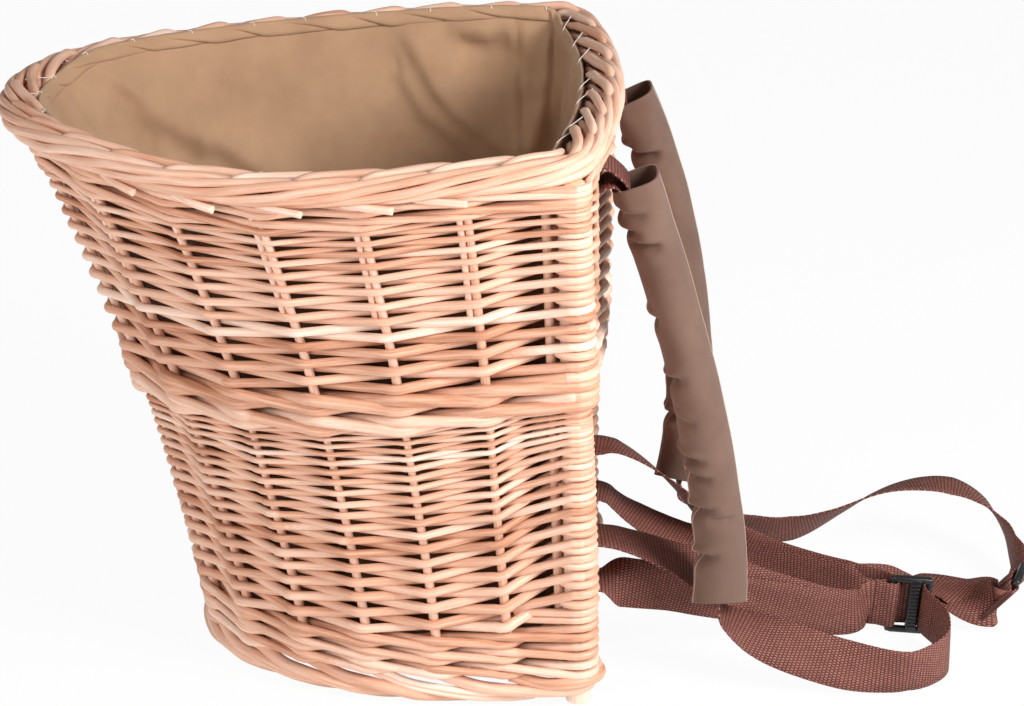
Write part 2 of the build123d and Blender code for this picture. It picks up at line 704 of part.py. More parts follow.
# Every node by its name, as a list of its solids.
nodes = {
    "right_post": [post(RIGHT)],
    "left_post": [post(LEFT)],
    "foot_rod": [front_rod(0, FOOT_ROD, FOOT_ROD)],
    "foot_back_rod": [back_rod(0, FOOT_ROD, FOOT_ROD)],
    "foot_pegs": [peg(station) for station in FRONT + BACK],
    "base_hoop": [front_rod(FOOT_HEIGHT, HOOP_HEIGHT, HOOP_WIDTH)],
    "base_back_rod": [back_rod(FOOT_HEIGHT, HOOP_HEIGHT, HOOP_WIDTH)],
    "base_sticks": [base_stick(x) for x in STICKS],
    "base_weave": base_weave(),
    "side_stakes": [stake(station, pair_shift, *stake_span) for station in FRONT],
    "back_stakes": [stake(station, pair_shift, *stake_span) for station in BACK],
    "side_bye_stakes": [stake(station, -pair_shift, *bye_stake_span) for station in FRONT],
    "back_bye_stakes": [stake(station, -pair_shift, *bye_stake_span) for station in BACK],
    "bottom_wale": wale(bottom_wale_base, BOTTOM_WALE_ROWS, False),
    "lower_siding": siding(lower_base, lower_pitch, LOWER_ROWS, False, ANCHOR_ROWS),
    "middle_wale": wale(MID_BAND_HEIGHT, MID_WALE_ROWS, True),
    "upper_siding": siding(mid_wale_top, upper_pitch, UPPER_ROWS, True),
    "top_wale": wale(top_wale_base, TOP_WALE_ROWS, True),
    "border_outer_rod": [wall_band(border_span, *BORDER_OUTER[::-1])],
    "border_inner_rod": [wall_band(border_span, *BORDER_INNER[::-1])],
    "border_turn_downs": turn_downs(),
    "lining_side": [lining_side()],
    "lining_back": [lining_back()],
    "lining_bottom": [lining_bottom()],
    "lining_hem": [lining_hem()],
}
for side, name in SIDE_NAMES.items():
    free, low, high = strap_stops(side)
    nodes[name + "_top_loop"] = [top_loop(side)]
    nodes[name + "_pad_webbing"] = [pad_webbing(side)]
    nodes[name + "_pad_foam"] = [pad_foam(side)]
    nodes[name + "_pad_cover"] = [pad_cover(side)]
    nodes[name + "_anchor_loop"] = [anchor_loop(side)]
    nodes[name + "_free_strap"] = [ribbon(name + "_free_strap", free, FREE_STEPS)]
    nodes[name + "_lower_straps"] = [ribbon(name + "_low_strand", low, STRAND_STEPS),
                                     ribbon(name + "_high_strand", high, STRAND_STEPS)]
    nodes[name + "_buckle"] = [buckle(side)]

# The origin is on the floor, in the middle of the box of everything but the free straps and buckles.
loose = [name for name in nodes if name.endswith(("_free_strap", "_lower_straps", "_buckle"))]
boxes = [solid.bounding_box() for name, solids in nodes.items() if name not in loose for solid in solids]
back_line = -(min(box.min.Y for box in boxes) + max(box.max.Y for box in boxes)) / 2
os.makedirs("parts", exist_ok=True)
for name, solids in nodes.items():
    placed = [Pos(0, back_line, 0) * solid for part in solids for solid in part.solids()]
    export_step(Compound(children=placed), os.path.join("parts", name + ".step"))
print("back wall at y", round(back_line, 3))
print("row pitch, lower", round(lower_pitch, 2), "upper", round(upper_pitch, 2))
for side, name in SIDE_NAMES.items():
    hinge = pad_path(side) @ 0
    bar = buckle_plane(side).from_local_coords(Vector(sewn_bar, 0, 0))
    print(name, "pad hinge", (0, round(hinge.Y + back_line, 3), round(hinge.Z, 3)))
    print(name, "buckle bar", tuple(round(v, 3) for v in bar + Vector(0, back_line, 0)))
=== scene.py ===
# %% [markdown]
# # A wicker back basket, rod by rod
# The CAD frame holds each band of weave, each cloth and each strap as a plain solid. Every step below
# lays a finished piece over one of those solids, in the order in which a basket maker works. The frame
# comes first, because it gives the size and the place of everything else.

# %% Load the frame
import math
import random

import bpy
import numpy as np
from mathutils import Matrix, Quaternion, Vector, noise
from mathutils.geometry import interpolate_bezier


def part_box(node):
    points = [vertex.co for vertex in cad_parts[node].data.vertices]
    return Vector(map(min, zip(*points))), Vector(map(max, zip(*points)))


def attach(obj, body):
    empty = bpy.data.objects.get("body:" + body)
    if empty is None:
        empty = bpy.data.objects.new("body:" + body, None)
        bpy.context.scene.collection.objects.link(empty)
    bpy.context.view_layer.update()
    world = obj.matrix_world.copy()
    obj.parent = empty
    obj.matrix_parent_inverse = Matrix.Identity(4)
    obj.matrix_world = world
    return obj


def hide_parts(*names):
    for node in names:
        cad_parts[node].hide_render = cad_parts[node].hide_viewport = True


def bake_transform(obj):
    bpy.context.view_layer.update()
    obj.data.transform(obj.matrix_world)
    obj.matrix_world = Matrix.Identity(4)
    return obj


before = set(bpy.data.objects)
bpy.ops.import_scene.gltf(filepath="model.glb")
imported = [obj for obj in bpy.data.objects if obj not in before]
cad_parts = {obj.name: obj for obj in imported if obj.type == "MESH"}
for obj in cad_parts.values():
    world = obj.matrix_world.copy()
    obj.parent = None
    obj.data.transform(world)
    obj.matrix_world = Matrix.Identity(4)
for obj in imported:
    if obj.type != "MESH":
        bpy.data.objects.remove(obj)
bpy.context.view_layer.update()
bpy.ops.object.select_all(action="DESELECT")
MM = 0.001
post_low, post_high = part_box("right_post")
BACK_LINE = (post_low.y + post_high.y) / 2
RIM_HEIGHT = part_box("border_turn_downs")[1].z
chance = random.Random(21)
print("back wall at", round(BACK_LINE, 4), "rim at", round(RIM_HEIGHT, 4))

# %% [markdown]
# The camera stands where the photographer stood: a little above the rim, looking at the right side of
# the basket with a long lens. It is placed first, so that every later step can be compared with the
# photograph.


# %% Camera
def place(x, y, z):
    """Point in metres from millimetres that are measured from the back wall."""
    return Vector((x * MM, y * MM + BACK_LINE, z * MM))


CAMERA_PLACE = place(1973.0, 10.6, 1031.7)
CAMERA_TARGET = place(0.0, -59.6, 227.1)
CAMERA_ROLL = -1.21
LENS, SENSOR = 98.0, 36.0
bpy.context.scene.view_settings.view_transform = "Standard"
bpy.ops.object.camera_add(location=CAMERA_PLACE)
camera = bpy.context.object
camera.data.lens, camera.data.sensor_width = LENS, SENSOR
aim = (CAMERA_TARGET - CAMERA_PLACE).to_track_quat("-Z", "Y")
camera.rotation_euler = (aim @ Quaternion((0, 0, 1), math.radians(CAMERA_ROLL))).to_euler()
bpy.context.scene.camera = camera
print("camera at", [round(v, 3) for v in CAMERA_PLACE])

# %% [markdown]
# Materials are small node trees. A few helpers keep them readable: they add a node and feed its sockets
# in order, reckon with numbers, make noise and mix colours. Colours are written as they look on a
# screen, from 0 to 255, and turned into the linear values that Blender's shaders use.


# %% Material helpers
def screen_colour(red, green, blue):
    """Linear colour of a screen colour."""
    shares = [value / 255 for value in (red, green, blue)]
    return [s / 12.92 if s < 0.04045 else ((s + 0.055) / 1.055) ** 2.4 for s in shares] + [1.0]


def new_material(name, colour, roughness):
    """Material with one screen colour, ready for more nodes."""
    made = bpy.data.materials.new(name)
    made.use_nodes = True
    shader = made.node_tree.nodes["Principled BSDF"]
    shader.inputs["Base Color"].default_value = screen_colour(*colour)
    shader.inputs["Roughness"].default_value = roughness
    return made


def feed_socket(material, socket, feed):
    """Link a socket to another one, or give it a plain value."""
    if isinstance(feed, bpy.types.NodeSocket):
        material.node_tree.links.new(feed, socket)
    elif feed is not None:
        socket.default_value = feed


def add_node(material, kind, *feeds, **settings):
    """Node of a kind, its sockets fed in order with links or plain values."""
    made = material.node_tree.nodes.new("ShaderNode" + kind)
    for name, value in settings.items():
        setattr(made, name, value)
    for socket, feed in zip(made.inputs, feeds):
        feed_socket(material, socket, feed)
    return made


def reckon(material, operation, *values):
    """Result of a sum with numbers or links."""
    return add_node(material, "Math", *values, operation=operation).outputs[0]


def noise_at(material, spot, scale, detail, roughness):
    """Noise from 0 to 1 at a spot, or over the object's own space where no spot is given."""
    if spot is None:
        spot = add_node(material, "TexCoord").outputs["Object"]
    return add_node(material, "TexNoise", spot, None, scale, detail, roughness).outputs["Fac"]


print("node helpers ready")

# %% Colour helpers
MIX_FIRST, MIX_SECOND, MIX_RESULT = 6, 7, 2


def mix_colours(material, share, first, second):
    """Colour between two colours, by the sockets that a Mix node has for colours."""
    made = add_node(material, "Mix", share, data_type="RGBA")
    feed_socket(material, made.inputs[MIX_FIRST], first)
    feed_socket(material, made.inputs[MIX_SECOND], second)
    return made.outputs[MIX_RESULT]


def finish_surface(material, colour, height, bump, depth):
    """Feed a colour, and a height as bump, to a material's shader."""
    shader = material.node_tree.nodes["Principled BSDF"]
    made = add_node(material, "Bump")
    made.inputs["Strength"].default_value = bump
    made.inputs["Distance"].default_value = depth
    feed_socket(material, made.inputs["Height"], height)
    feed_socket(material, shader.inputs["Base Color"], colour)
    feed_socket(material, shader.inputs["Normal"], made.outputs["Normal"])


def ramp(material, share, *stops):
    """Colour ramp with stops given as place and screen colour."""
    made = add_node(material, "ValToRGB", share)
    marks = made.color_ramp.elements
    while len(marks) < len(stops):
        marks.new(0.5)
    for mark, (position, colour) in zip(marks, stops):
        mark.position = position
        mark.color = screen_colour(*colour)
    return made.outputs["Color"]


print("colour helpers ready")

# %% [markdown]
# Peeled willow is a warm peach with streaks that run along the rod, small dark knots and a paler tone
# on some rods. The streaks follow each rod's own UV map, which holds the distance along the rod and the
# turn round it, and every rod carries a tone of its own as an attribute. Cut ends show pale wood.

# %% Willow
WILLOW_SHADES = ((0.05, (180, 116, 82)), (0.3, (218, 163, 133)), (0.55, (235, 190, 164)),
                 (0.85, (248, 221, 203)))
KNOT_COLOUR, KNOT_FROM, KNOT_FULL = (150, 92, 60), 0.68, 0.76
STREAKS, SPECKS = (1.9, 5.0, 0.62), (6.5, 3.0, 0.6)
STREAK_STRETCH, STREAK_SHARE, TONE_JUMP = 14.0, 0.95, 37.0


def make_willow():
    """Peeled willow with streaks along the rod."""
    made = new_material("peeled willow", (222, 172, 142), 0.47)
    split = add_node(made, "SeparateXYZ", add_node(made, "UVMap", uv_map="along").outputs["UV"])
    turn = reckon(made, "MULTIPLY", split.outputs["Y"], 2 * math.pi)
    ring = [reckon(made, kind, turn) for kind in ("COSINE", "SINE")]
    along = reckon(made, "MULTIPLY", split.outputs["X"], STREAK_STRETCH)
    tone = add_node(made, "Attribute", attribute_name="tone").outputs["Fac"]
    shift = reckon(made, "MULTIPLY_ADD", tone, TONE_JUMP, along)
    spot = add_node(made, "CombineXYZ", shift, *ring).outputs[0]
    streak = noise_at(made, spot, *STREAKS)
    mixed = reckon(made, "MULTIPLY_ADD", streak, STREAK_SHARE, tone)
    colour = ramp(made, reckon(made, "ADD", mixed, -STREAK_SHARE / 2), *WILLOW_SHADES)
    knot = add_node(made, "MapRange", noise_at(made, spot, *SPECKS), KNOT_FROM, KNOT_FULL).outputs[0]
    finish_surface(made, mix_colours(made, knot, colour, screen_colour(*KNOT_COLOUR)), streak, 0.25, 0.0008)
    return made


willow = make_willow()
cut_willow = new_material("cut willow", (240, 212, 178), 0.6)
print("made", willow.name, "and", cut_willow.name)

# %% [markdown]
# The wall is a D in plan: a back between two posts and a round front that swells and leans out towards
# the rim. The same few numbers that shape the CAD solids give any point of that wall here. Three small
# habits of the real basket are added: its posts stand a little further forward, its back bows out
# towards the rim, and the rim has settled at its sides.

# %% Shape of the wall
RIGHT, LEFT = 1, -1
SIDE_NAME = {RIGHT: "right", LEFT: "left"}
BACK_WIDTH, DEPTH, BELLY = (0.264, 0.380), (0.296, 0.424), (0.36, 0.48)
ROUNDNESS, FLARE = 1.6, 0.55
POST_SHIFT, BOW, BOW_REACH = 0.0105, 0.025, 0.27
# Shares of the depth, and how far the rim has settled there in millimetres.
RIM_DIP = {RIGHT: ((0, 0), (0.11, 3), (0.2, 5.5), (0.28, 8.5), (0.37, 11), (0.46, 13), (0.54, 13.6),
                   (0.63, 12.6), (0.72, 8.5), (0.81, 4), (1, 1)),
           LEFT: ((0, 0), (0.15, 0.5), (0.24, 2), (0.34, 4.3), (0.44, 5.7), (0.54, 7), (0.72, 7.5),
                  (0.81, 6), (0.9, 4), (1, 1))}
DIP_FROM = 0.24
FRONT_REACH, SLOPE_STEP = 0.999, 0.0005
POST_LINE = BACK_LINE - POST_SHIFT
print("posts stand at", round(POST_LINE, 4))


# %% Points of the wall
def between(pair, share):
    """Value at a share of the way from the first of a pair to the second."""
    return pair[0] + (pair[1] - pair[0]) * share


def smooth_step(value):
    """Soft step from 0 to 1."""
    value = min(1.0, max(0.0, value))
    return value * value * (3 - 2 * value)


def half_back(z):
    """Half the width of the back wall."""
    return between(BACK_WIDTH, z / RIM_HEIGHT) / 2


def front_depth(z):
    """Distance from the posts to the front."""
    share = z / RIM_HEIGHT
    return between(DEPTH, (1 - FLARE) * share + FLARE * share * share) - POST_SHIFT


def back_bow(z):
    """How far the middle of the back stands out behind the posts."""
    return BOW * max(0.0, 1 - ((RIM_HEIGHT - z) / BOW_REACH) ** 2)


def back_y(x, z):
    """Place of the back's stake line at a distance from its middle."""
    return POST_LINE + back_bow(z) * max(0.0, 1 - (x / half_back(z)) ** 2)


def wall_point(reach, side, z):
    """Point of the stake line at a share of the depth."""
    swell = math.sqrt(max(0.0, 1 - reach ** ROUNDNESS)) * (1 + between(BELLY, z / RIM_HEIGHT) * reach)
    return Vector((side * half_back(z) * swell, POST_LINE - reach * front_depth(z), z))


def wall_out(reach, side, z):
    """Direction out of the wall, in plan."""
    if reach > FRONT_REACH:
        return Vector((0, -1, 0))
    run = wall_point(reach + SLOPE_STEP, side, z) - wall_point(max(0.0, reach - SLOPE_STEP), side, z)
    return Vector((-side * run.y, side * run.x, 0)).normalized()


def settle(point):
    """The same point, lowered where the rim has settled."""
    reach = min(1.0, max(0.0, (POST_LINE - point.y) / front_depth(point.z)))
    part = smooth_step((point.z - DIP_FROM) / (RIM_HEIGHT - DIP_FROM))
    dip = RIM_DIP[RIGHT if point.x > 0 else LEFT]
    return Vector((point.x, point.y, point.z - np.interp(reach, *zip(*dip)) * MM * part))


print("half the back at rim and floor", half_back(RIM_HEIGHT), half_back(0))

# %% [markdown]
# Thirteen stakes stand round the front at even distances along the wall, and five in the back. Every
# round of weave passes them in the same order, with the two posts at the corners.

# %% Stations of the weave
HALF_STAKES = 7
BACK_SHARES = (-0.73, -0.37, 0.0, 0.37, 0.73)
WALK_STEPS = 600


def walked_along(line):
    """Distance from the start of a line to each of its points."""
    return np.concatenate([[0], np.cumsum(np.linalg.norm(np.diff(line, axis=0), axis=1))])


def reaches_along(z):
    """Shares of the depth, and the arc length from the post to each of them."""
    reaches = np.linspace(0, 1, WALK_STEPS + 1)
    return reaches, walked_along(np.array([wall_point(reach, RIGHT, z)[:] for reach in reaches]))


reaches, walked = reaches_along(RIM_HEIGHT / 2)
steps = [np.interp(walked[-1] * n / HALF_STAKES, walked, reaches) for n in range(1, HALF_STAKES)]
FRONT = [("front", reach, RIGHT) for reach in steps] + [("front", 1.0, RIGHT)]
FRONT += [("front", reach, LEFT) for reach in reversed(steps)]
BACK = [("back", share, 0) for share in BACK_SHARES]
POSTS = {side: ("post", 0, side) for side in (RIGHT, LEFT)}
ROUND = [POSTS[RIGHT]] + FRONT + [POSTS[LEFT]] + BACK
print("stations", len(ROUND), "first reaches", [round(float(r), 3) for r in steps])


def stake_place(station, z):
    """Middle of a stake or post, the direction out of the wall and the one along it."""
    kind, share, side = station
    if kind == "front":
        out = wall_out(share, side, z)
        return wall_point(share, side, z), out, Vector((-out.y, out.x, 0)) * side
    x = (share if kind == "back" else side) * half_back(z)
    out = Vector((2 * back_bow(z) * x / half_back(z) ** 2, 1, 0)).normalized()
    if kind == "post":
        out = Vector((0, 1, 0))
    return Vector((x, back_y(x, z), z)), out, Vector((out.y, -out.x, 0))


# %% [markdown]
# The rounds of weave are not level. The posts take an extra turn of rod for every other round, so each
# round climbs towards the back. The table below gives that climb, in millimetres, for a few heights and
# shares of the depth; it was measured on the photograph.

# %% Climb of the rounds
CLIMB_HEIGHTS = (27, 44, 61.5, 62, 84, 137, 194, 237, 271, 325, 400, 418)
CLIMB_REACHES = (0, 0.15, 0.3, 0.46, 0.62, 0.8, 1)
CLIMB = np.array(((1, 1, 0, 0, 0, 0, 0), (8, 4, 0, 0, -1, 0, 0), (13.5, 6, 0, 0, -1, -1, -1),
                  (25.5, 7, 0, 0, -1, -1, -2), (30, 11, 0, 0, -2, -2, -2), (33, 13, 0, -1, -4, -4, -5),
                  (32, 13, 0, -2, -7, -8, -10), (19, 9, 0, -4, -7, -9, -13), (16, 7, 0, -4, -7, -10, -14),
                  (18, 7, 0, -6, -9, -9, -10), (12, 6.5, 0, -9, -10, -3, 2), (9, 5.5, 0, -5, -6, 3, 6)))


def climbed(level, station):
    """Height of a round at a station, from its height a third of the way along the side."""
    reach = station[1] if station[0] == "front" else 0.0
    row = [np.interp(level / MM, CLIMB_HEIGHTS, CLIMB[:, k]) for k in range(len(CLIMB_REACHES))]
    return level + float(np.interp(reach, CLIMB_REACHES, row)) * MM


print("climb at the posts in mm", CLIMB[:, 0].tolist())

# %% [markdown]
# A willow rod is a round section swept along a bent line. A curve with a bevel could do it, but a
# hundred rods with their own thickness, tone and cut ends are easier to lay as one mesh, ring after
# ring. A short end bends along Bezier handles, as a springy rod does between two points, and a long
# line is eased by drawing each point towards its neighbours.

# %% Lines of rods
HANDLE = 0.36
SEED_APART, SEED_UP = 7.31, 1.7


def bent_line(knots, steps):
    """Springy line through points, its handles along the chord of their neighbours."""
    line = []
    for n, (a, b) in enumerate(zip(knots, knots[1:])):
        before, after = knots[max(n - 1, 0)], knots[min(n + 2, len(knots) - 1)]
        reach = (b - a).length * HANDLE
        lead, trail = (b - before).normalized() * reach, (after - a).normalized() * reach
        line += interpolate_bezier(a, a + lead, b - trail, b, steps + 1)[:-1]
    return line + [knots[-1]]


def eased(line, times):
    """The same line with its bends eased and its ends held."""
    for n in range(times):
        line = line[:1] + [(a + b * 2 + c) / 4 for a, b, c in zip(line, line[1:], line[2:])] + line[-1:]
    return line


def waver(place, seed, size):
    """Slow random swing along a rod."""
    return size * noise.noise(Vector((place, seed * SEED_APART, seed * SEED_UP)))


print("helpers for the lines of rods ready")

# %% Meshes of rods
UPRIGHT = 0.75


def new_piece(name, corners, faces, uv_map, marks, ends, looks):
    """Piece with a new mesh, smooth apart from its cut ends, with a UV map and its looks."""
    mesh = bpy.data.meshes.new(name)
    mesh.from_pydata(corners, [], faces)
    mesh.uv_layers.new(name=uv_map).data.foreach_set("uv", marks)
    mesh.polygons.foreach_set("use_smooth", [not end for end in ends])
    for look in looks:
        mesh.materials.append(look)
    mesh.update()
    piece = bpy.data.objects.new(name, mesh)
    bpy.context.collection.objects.link(piece)
    return piece


def lay_rods(name, rods, sides=8, looks=(willow, cut_willow)):
    """One mesh of many rods, each given as its line, radii, tones and whether it closes on itself."""
    corners, faces, marks, tones, ends = [], [], [], [], []
    turns = np.arange(sides) * 2 * math.pi / sides
    for line, radii, tone, closed in rods:
        line = np.array([point[:] for point in line])
        count = len(line)
        radii = np.broadcast_to(np.asarray(radii, float), count)
        ahead, behind = np.roll(line, -1, 0), np.roll(line, 1, 0)
        if not closed:
            ahead[-1], behind[0] = line[-1], line[0]
        along = ahead - behind
        along /= np.linalg.norm(along, axis=1)[:, None]
        upright = np.abs(along[:, 2]).mean() > UPRIGHT
        side = np.cross(along, [0, 1, 0] if upright else [0, 0, 1])
        side /= np.linalg.norm(side, axis=1)[:, None]
        rise = np.cross(side, along)
        ring = side[:, None] * np.cos(turns)[None, :, None] - rise[:, None] * np.sin(turns)[None, :, None]
        first = len(tones)
        corners.append((line[:, None] + ring * radii[:, None, None]).reshape(-1, 3))
        tones += list(np.repeat(np.broadcast_to(np.asarray(tone, float), count), sides))
        lengths = np.linalg.norm(np.diff(line, axis=0), axis=1)
        walked = np.concatenate([[0], np.cumsum(lengths), [lengths.sum() + lengths.mean()]])
        for n in range(count if closed else count - 1):
            low, high = first + n * sides, first + (n + 1) % count * sides
            for k in range(sides):
                after = (k + 1) % sides
                faces.append((low + k, high + k, high + after, low + after))
                for row, turn in ((n, k), (n + 1, k), (n + 1, k + 1), (n, k + 1)):
                    marks += [walked[row], turn / sides]
                ends.append(False)
        if not closed:
            last = first + (count - 1) * sides
            faces += [tuple(first + k for k in range(sides)), tuple(last + k for k in reversed(range(sides)))]
            marks += [0.0, 0.0] * 2 * sides
            ends += [True, True]
    piece = new_piece(name, np.concatenate(corners).tolist(), faces, "along", marks, ends, looks)
    piece.data.attributes.new("tone", "FLOAT", "POINT").data.foreach_set("value", tones)
    piece.data.polygons.foreach_set("material_index", [int(end) for end in ends])
    print(name, "of", len(rods), "rods and", len(faces), "faces")
    return piece


# %% Bodies
def keep(piece, body, slot, *nodes):
    """Tie a finished piece to its body and hide the solids it stands for; its slot is not used."""
    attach(piece, body)
    if nodes:
        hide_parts(*nodes)
    return piece


print("rods can be laid and kept")

# %% [markdown]
# The stakes come first in a real basket. One stands at each station, stout at the foot and slimmer
# towards the middle band, where new stakes take over. Near the rim some stations have a second, slimmer
# rod beside the first, and one more stake stands close to each post.

# %% Stakes
FOOT_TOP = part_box("side_stakes")[0].z
BORDER_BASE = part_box("border_outer_rod")[0].z
BAND_BASE, BAND_TOP = 0.237, 0.271
STAKE_HEIGHTS, STAKE_RADII = (0.03, 0.06, 0.225, 0.26, 0.41), (0.0039, 0.0037, 0.0027, 0.0035, 0.0029)
STAKE_POINTS, STAKE_SWING, STAKE_TONES = 40, 0.0008, (0.4, 0.7)
STAKE_BASE, STAKE_TOP = FOOT_TOP - 0.003, BORDER_BASE + 0.004
PARTNERED = FRONT[0:6:2] + FRONT[1:2] + FRONT[8:]
PARTNER_BASE, PARTNER_RADIUS, PARTNER_SHIFT = 0.33, 0.0025, -0.0056
NEAR_POSTS = [("front", 0.045, side) for side in (RIGHT, LEFT)]
NEAR_POST_BASE, NEAR_POST_RADIUS = 0.03, 0.0034


def stake_radius(z):
    """Radius of a stake at a height."""
    return float(np.interp(z, STAKE_HEIGHTS, STAKE_RADII))


def stake_rods(stations, low, high, radii, shift):
    """Stakes at stations, from one height to another."""
    rods = []
    for number, station in enumerate(stations):
        line, sizes = [], []
        for z in np.linspace(low, high, STAKE_POINTS):
            point, out, along = stake_place(station, z)
            line.append(settle(point + along * (shift + waver(z * 9, number, STAKE_SWING))))
            sizes.append(radii(z))
        rods.append((line, sizes, chance.uniform(*STAKE_TONES), False))
    return rods


rods = stake_rods(FRONT + BACK, STAKE_BASE, STAKE_TOP, stake_radius, 0.0)
rods += stake_rods(PARTNERED, PARTNER_BASE, STAKE_TOP, lambda z: PARTNER_RADIUS, PARTNER_SHIFT)
rods += stake_rods(NEAR_POSTS, NEAR_POST_BASE, BORDER_BASE, lambda z: NEAR_POST_RADIUS, 0.0)
keep(lay_rods("stakes", rods), "basket", "willow", "side_stakes", "back_stakes",
     "side_bye_stakes", "back_bye_stakes")

# %% [markdown]
# Each corner has a stout post that runs from the floor to the rim. It is a cylinder that leans with the
# wall, with its cut edges rounded over.

# %% Corner posts
POST_RADIUS, POST_TOP, POST_EDGE, POST_TONE = 0.0095, BORDER_BASE + 0.002, 0.0015, 0.75
SHARP, FLAT_END = math.radians(40), 0.9


def apply_modifier(piece, kind, **settings):
    """Add a modifier to a piece, set it and apply it."""
    made = piece.modifiers.new(kind, kind)
    for name, value in settings.items():
        setattr(made, name, value)
    bpy.context.view_layer.objects.active = piece
    bpy.ops.object.modifier_apply(modifier=made.name)


def corner_post(side):
    """Leaning post, cut flat at the floor."""
    bpy.ops.mesh.primitive_cylinder_add(vertices=28, radius=POST_RADIUS, depth=POST_TOP,
                                        location=(side * half_back(0), POST_LINE, POST_TOP / 2))
    piece = bpy.context.object
    piece.name = SIDE_NAME[side] + "_corner_post"
    bpy.ops.object.transform_apply(location=True)
    lean = side * (half_back(POST_TOP) - half_back(0)) / POST_TOP
    for corner in piece.data.vertices:
        corner.co.x += lean * corner.co.z
    apply_modifier(piece, "BEVEL", width=POST_EDGE, segments=3)
    bpy.ops.object.shade_smooth_by_angle(angle=SHARP)
    piece.data.uv_layers[0].name = "along"
    tones = [POST_TONE] * len(piece.data.vertices)
    piece.data.attributes.new("tone", "FLOAT", "POINT").data.foreach_set("value", tones)
    piece.data.materials.append(willow)
    piece.data.materials.append(cut_willow)
    for face in piece.data.polygons:
        face.material_index = int(abs(face.normal.z) > FLAT_END)
    return keep(piece, "basket", "willow", SIDE_NAME[side] + "_post")


posts = [corner_post(side) for side in (RIGHT, LEFT)]
print("posts", [piece.name for piece in posts])

# %% [markdown]
# The siding is plain weave: each round passes outside one stake and inside the next, and the round
# above does the opposite. A soaked rod runs straight between the stakes and bends sharply round each of
# them, so the line is built from straight runs and short bends. At a corner post the rods that pass
# outside go round it, and a short extra turn fills the level of those that pass inside. The rods are
# thick at the bottom of each zone and get thinner upwards.

# %% Woven lines
POST_WRAP = math.radians(20)
BEND, BEND_SHARE, BEND_STEPS = 0.0075, 0.4, (0.0, 0.25, 0.5, 0.75, 1.0)
LONG_RUN, RUN_STEPS = 4, (0.33, 0.67)
WRAP_MARKS, WRAP_BEND = 6, 0.002
INSIDE_X, INSIDE_Y = 0.75, 0.66


def woven_line(marks):
    """Straight runs between marks, with a short round bend through each mark."""
    line = []
    count = len(marks)
    for n, (spot, bend) in enumerate(marks):
        before, after = marks[n - 1][0], marks[(n + 1) % count][0]
        into, onward = spot - before, after - spot
        start = spot - into.normalized() * min(bend, into.length * BEND_SHARE)
        end = spot + onward.normalized() * min(bend, onward.length * BEND_SHARE)
        control = spot * 2 - (start + end) / 2
        for t in BEND_STEPS:
            line.append(start * (1 - t) ** 2 + control * 2 * t * (1 - t) + end * t * t)
        if onward.length > LONG_RUN * bend:
            far = after - onward.normalized() * bend
            line += [end.lerp(far, share) for share in RUN_STEPS]
    return line


def post_turns(side, spread=0.0):
    """First and last angle of a rod round the outside of a post, as the weave goes."""
    out = wall_out(0.0, side, RIM_HEIGHT / 2)
    first, last = math.atan2(out.y, side * out.x) - POST_WRAP - spread, math.pi / 2 + POST_WRAP + spread
    return (last, first) if side == RIGHT else (first, last)


def round_post(side, z, offset, turns, count):
    """Points round a post between two angles."""
    middle = stake_place(POSTS[side], z)[0]
    return [middle + Vector((side * math.cos(a), math.sin(a), 0)) * offset
            for a in np.linspace(*turns, count)]


def outside_post(side, z, radius):
    """Marks of a rod that goes round the outside of a post."""
    turn = round_post(side, z, POST_RADIUS + radius, post_turns(side), WRAP_MARKS)
    return [(point, WRAP_BEND) for point in turn]


def inside_post(side, z, radius):
    """Mark of a rod that passes a post on the inside."""
    inward = Vector((-side * INSIDE_X, -INSIDE_Y, 0))
    return [(stake_place(POSTS[side], z)[0] + inward * (POST_RADIUS + radius), BEND)]


print("rods go", WRAP_MARKS, "marks round a post")

# %% Siding
STRAP_X, STRAP_HALF, STRAP_FADE, BACK_REACH = 0.0824, 0.03, 0.012, 0.03
PUSH, PUSH_REACH = 0.0013, 0.014
EXTRA_TURN, EXTRA_FALL, EXTRA_POINTS = math.radians(50), 0.45, 18
LEVEL_SWING, GRIP, GRIP_SWING = 0.0012, 0.9, 0.2
ROW_FILL, EXTRA_GRIP, EXTRA_SIZE = 1.03, 0.94, 0.98


def part_for_strap(point):
    """The same point, pushed up or down where a strap passes through the back wall."""
    near = smooth_step((STRAP_HALF - abs(abs(point.x) - STRAP_X)) / STRAP_FADE)
    if point.y < POST_LINE - BACK_REACH or near == 0:
        return point
    push = 0.0
    for level in STRAP_LEVELS:
        away = point.z - level
        push += math.copysign(PUSH * math.exp(-abs(away) / PUSH_REACH), away)
    return Vector((point.x, point.y, point.z + push * near))


def siding_row(level, radius, goes_outside, seed):
    """One round of plain weave, and the extra turns that fill the posts beside it."""
    marks, extras = [], []
    for number, station in enumerate(ROUND):
        here = climbed(level, station) + waver(number * 2.3, seed + 50, LEVEL_SWING)
        if station[0] != "post":
            point, out, along = stake_place(station, here)
            offset = stake_radius(here) + radius * (GRIP + waver(number * 3.1, seed, GRIP_SWING))
            marks.append((point + out * (offset if goes_outside(number) else -offset), BEND))
            continue
        side = station[2]
        if goes_outside(number):
            marks += outside_post(side, here, radius)
            continue
        marks += inside_post(side, here, radius)
        angles = post_turns(side, EXTRA_TURN)
        turn = round_post(side, here, POST_RADIUS + radius * EXTRA_GRIP, angles, EXTRA_POINTS)
        fall = np.linspace(-0.5, 0.5, EXTRA_POINTS) * radius * 2 * EXTRA_FALL * side
        extras.append([point + Vector((0, 0, down)) for point, down in zip(turn, fall)])
    return woven_line(marks), extras


print("straps pass the wall", STRAP_X, "m from its middle")

# %% Rows of siding
RODS_IN_ROW, ROD_TONE, ROD_TAPER, ROD_SWING = (2, 3), (0.45, 0.13), (1.06, 0.96), 0.14


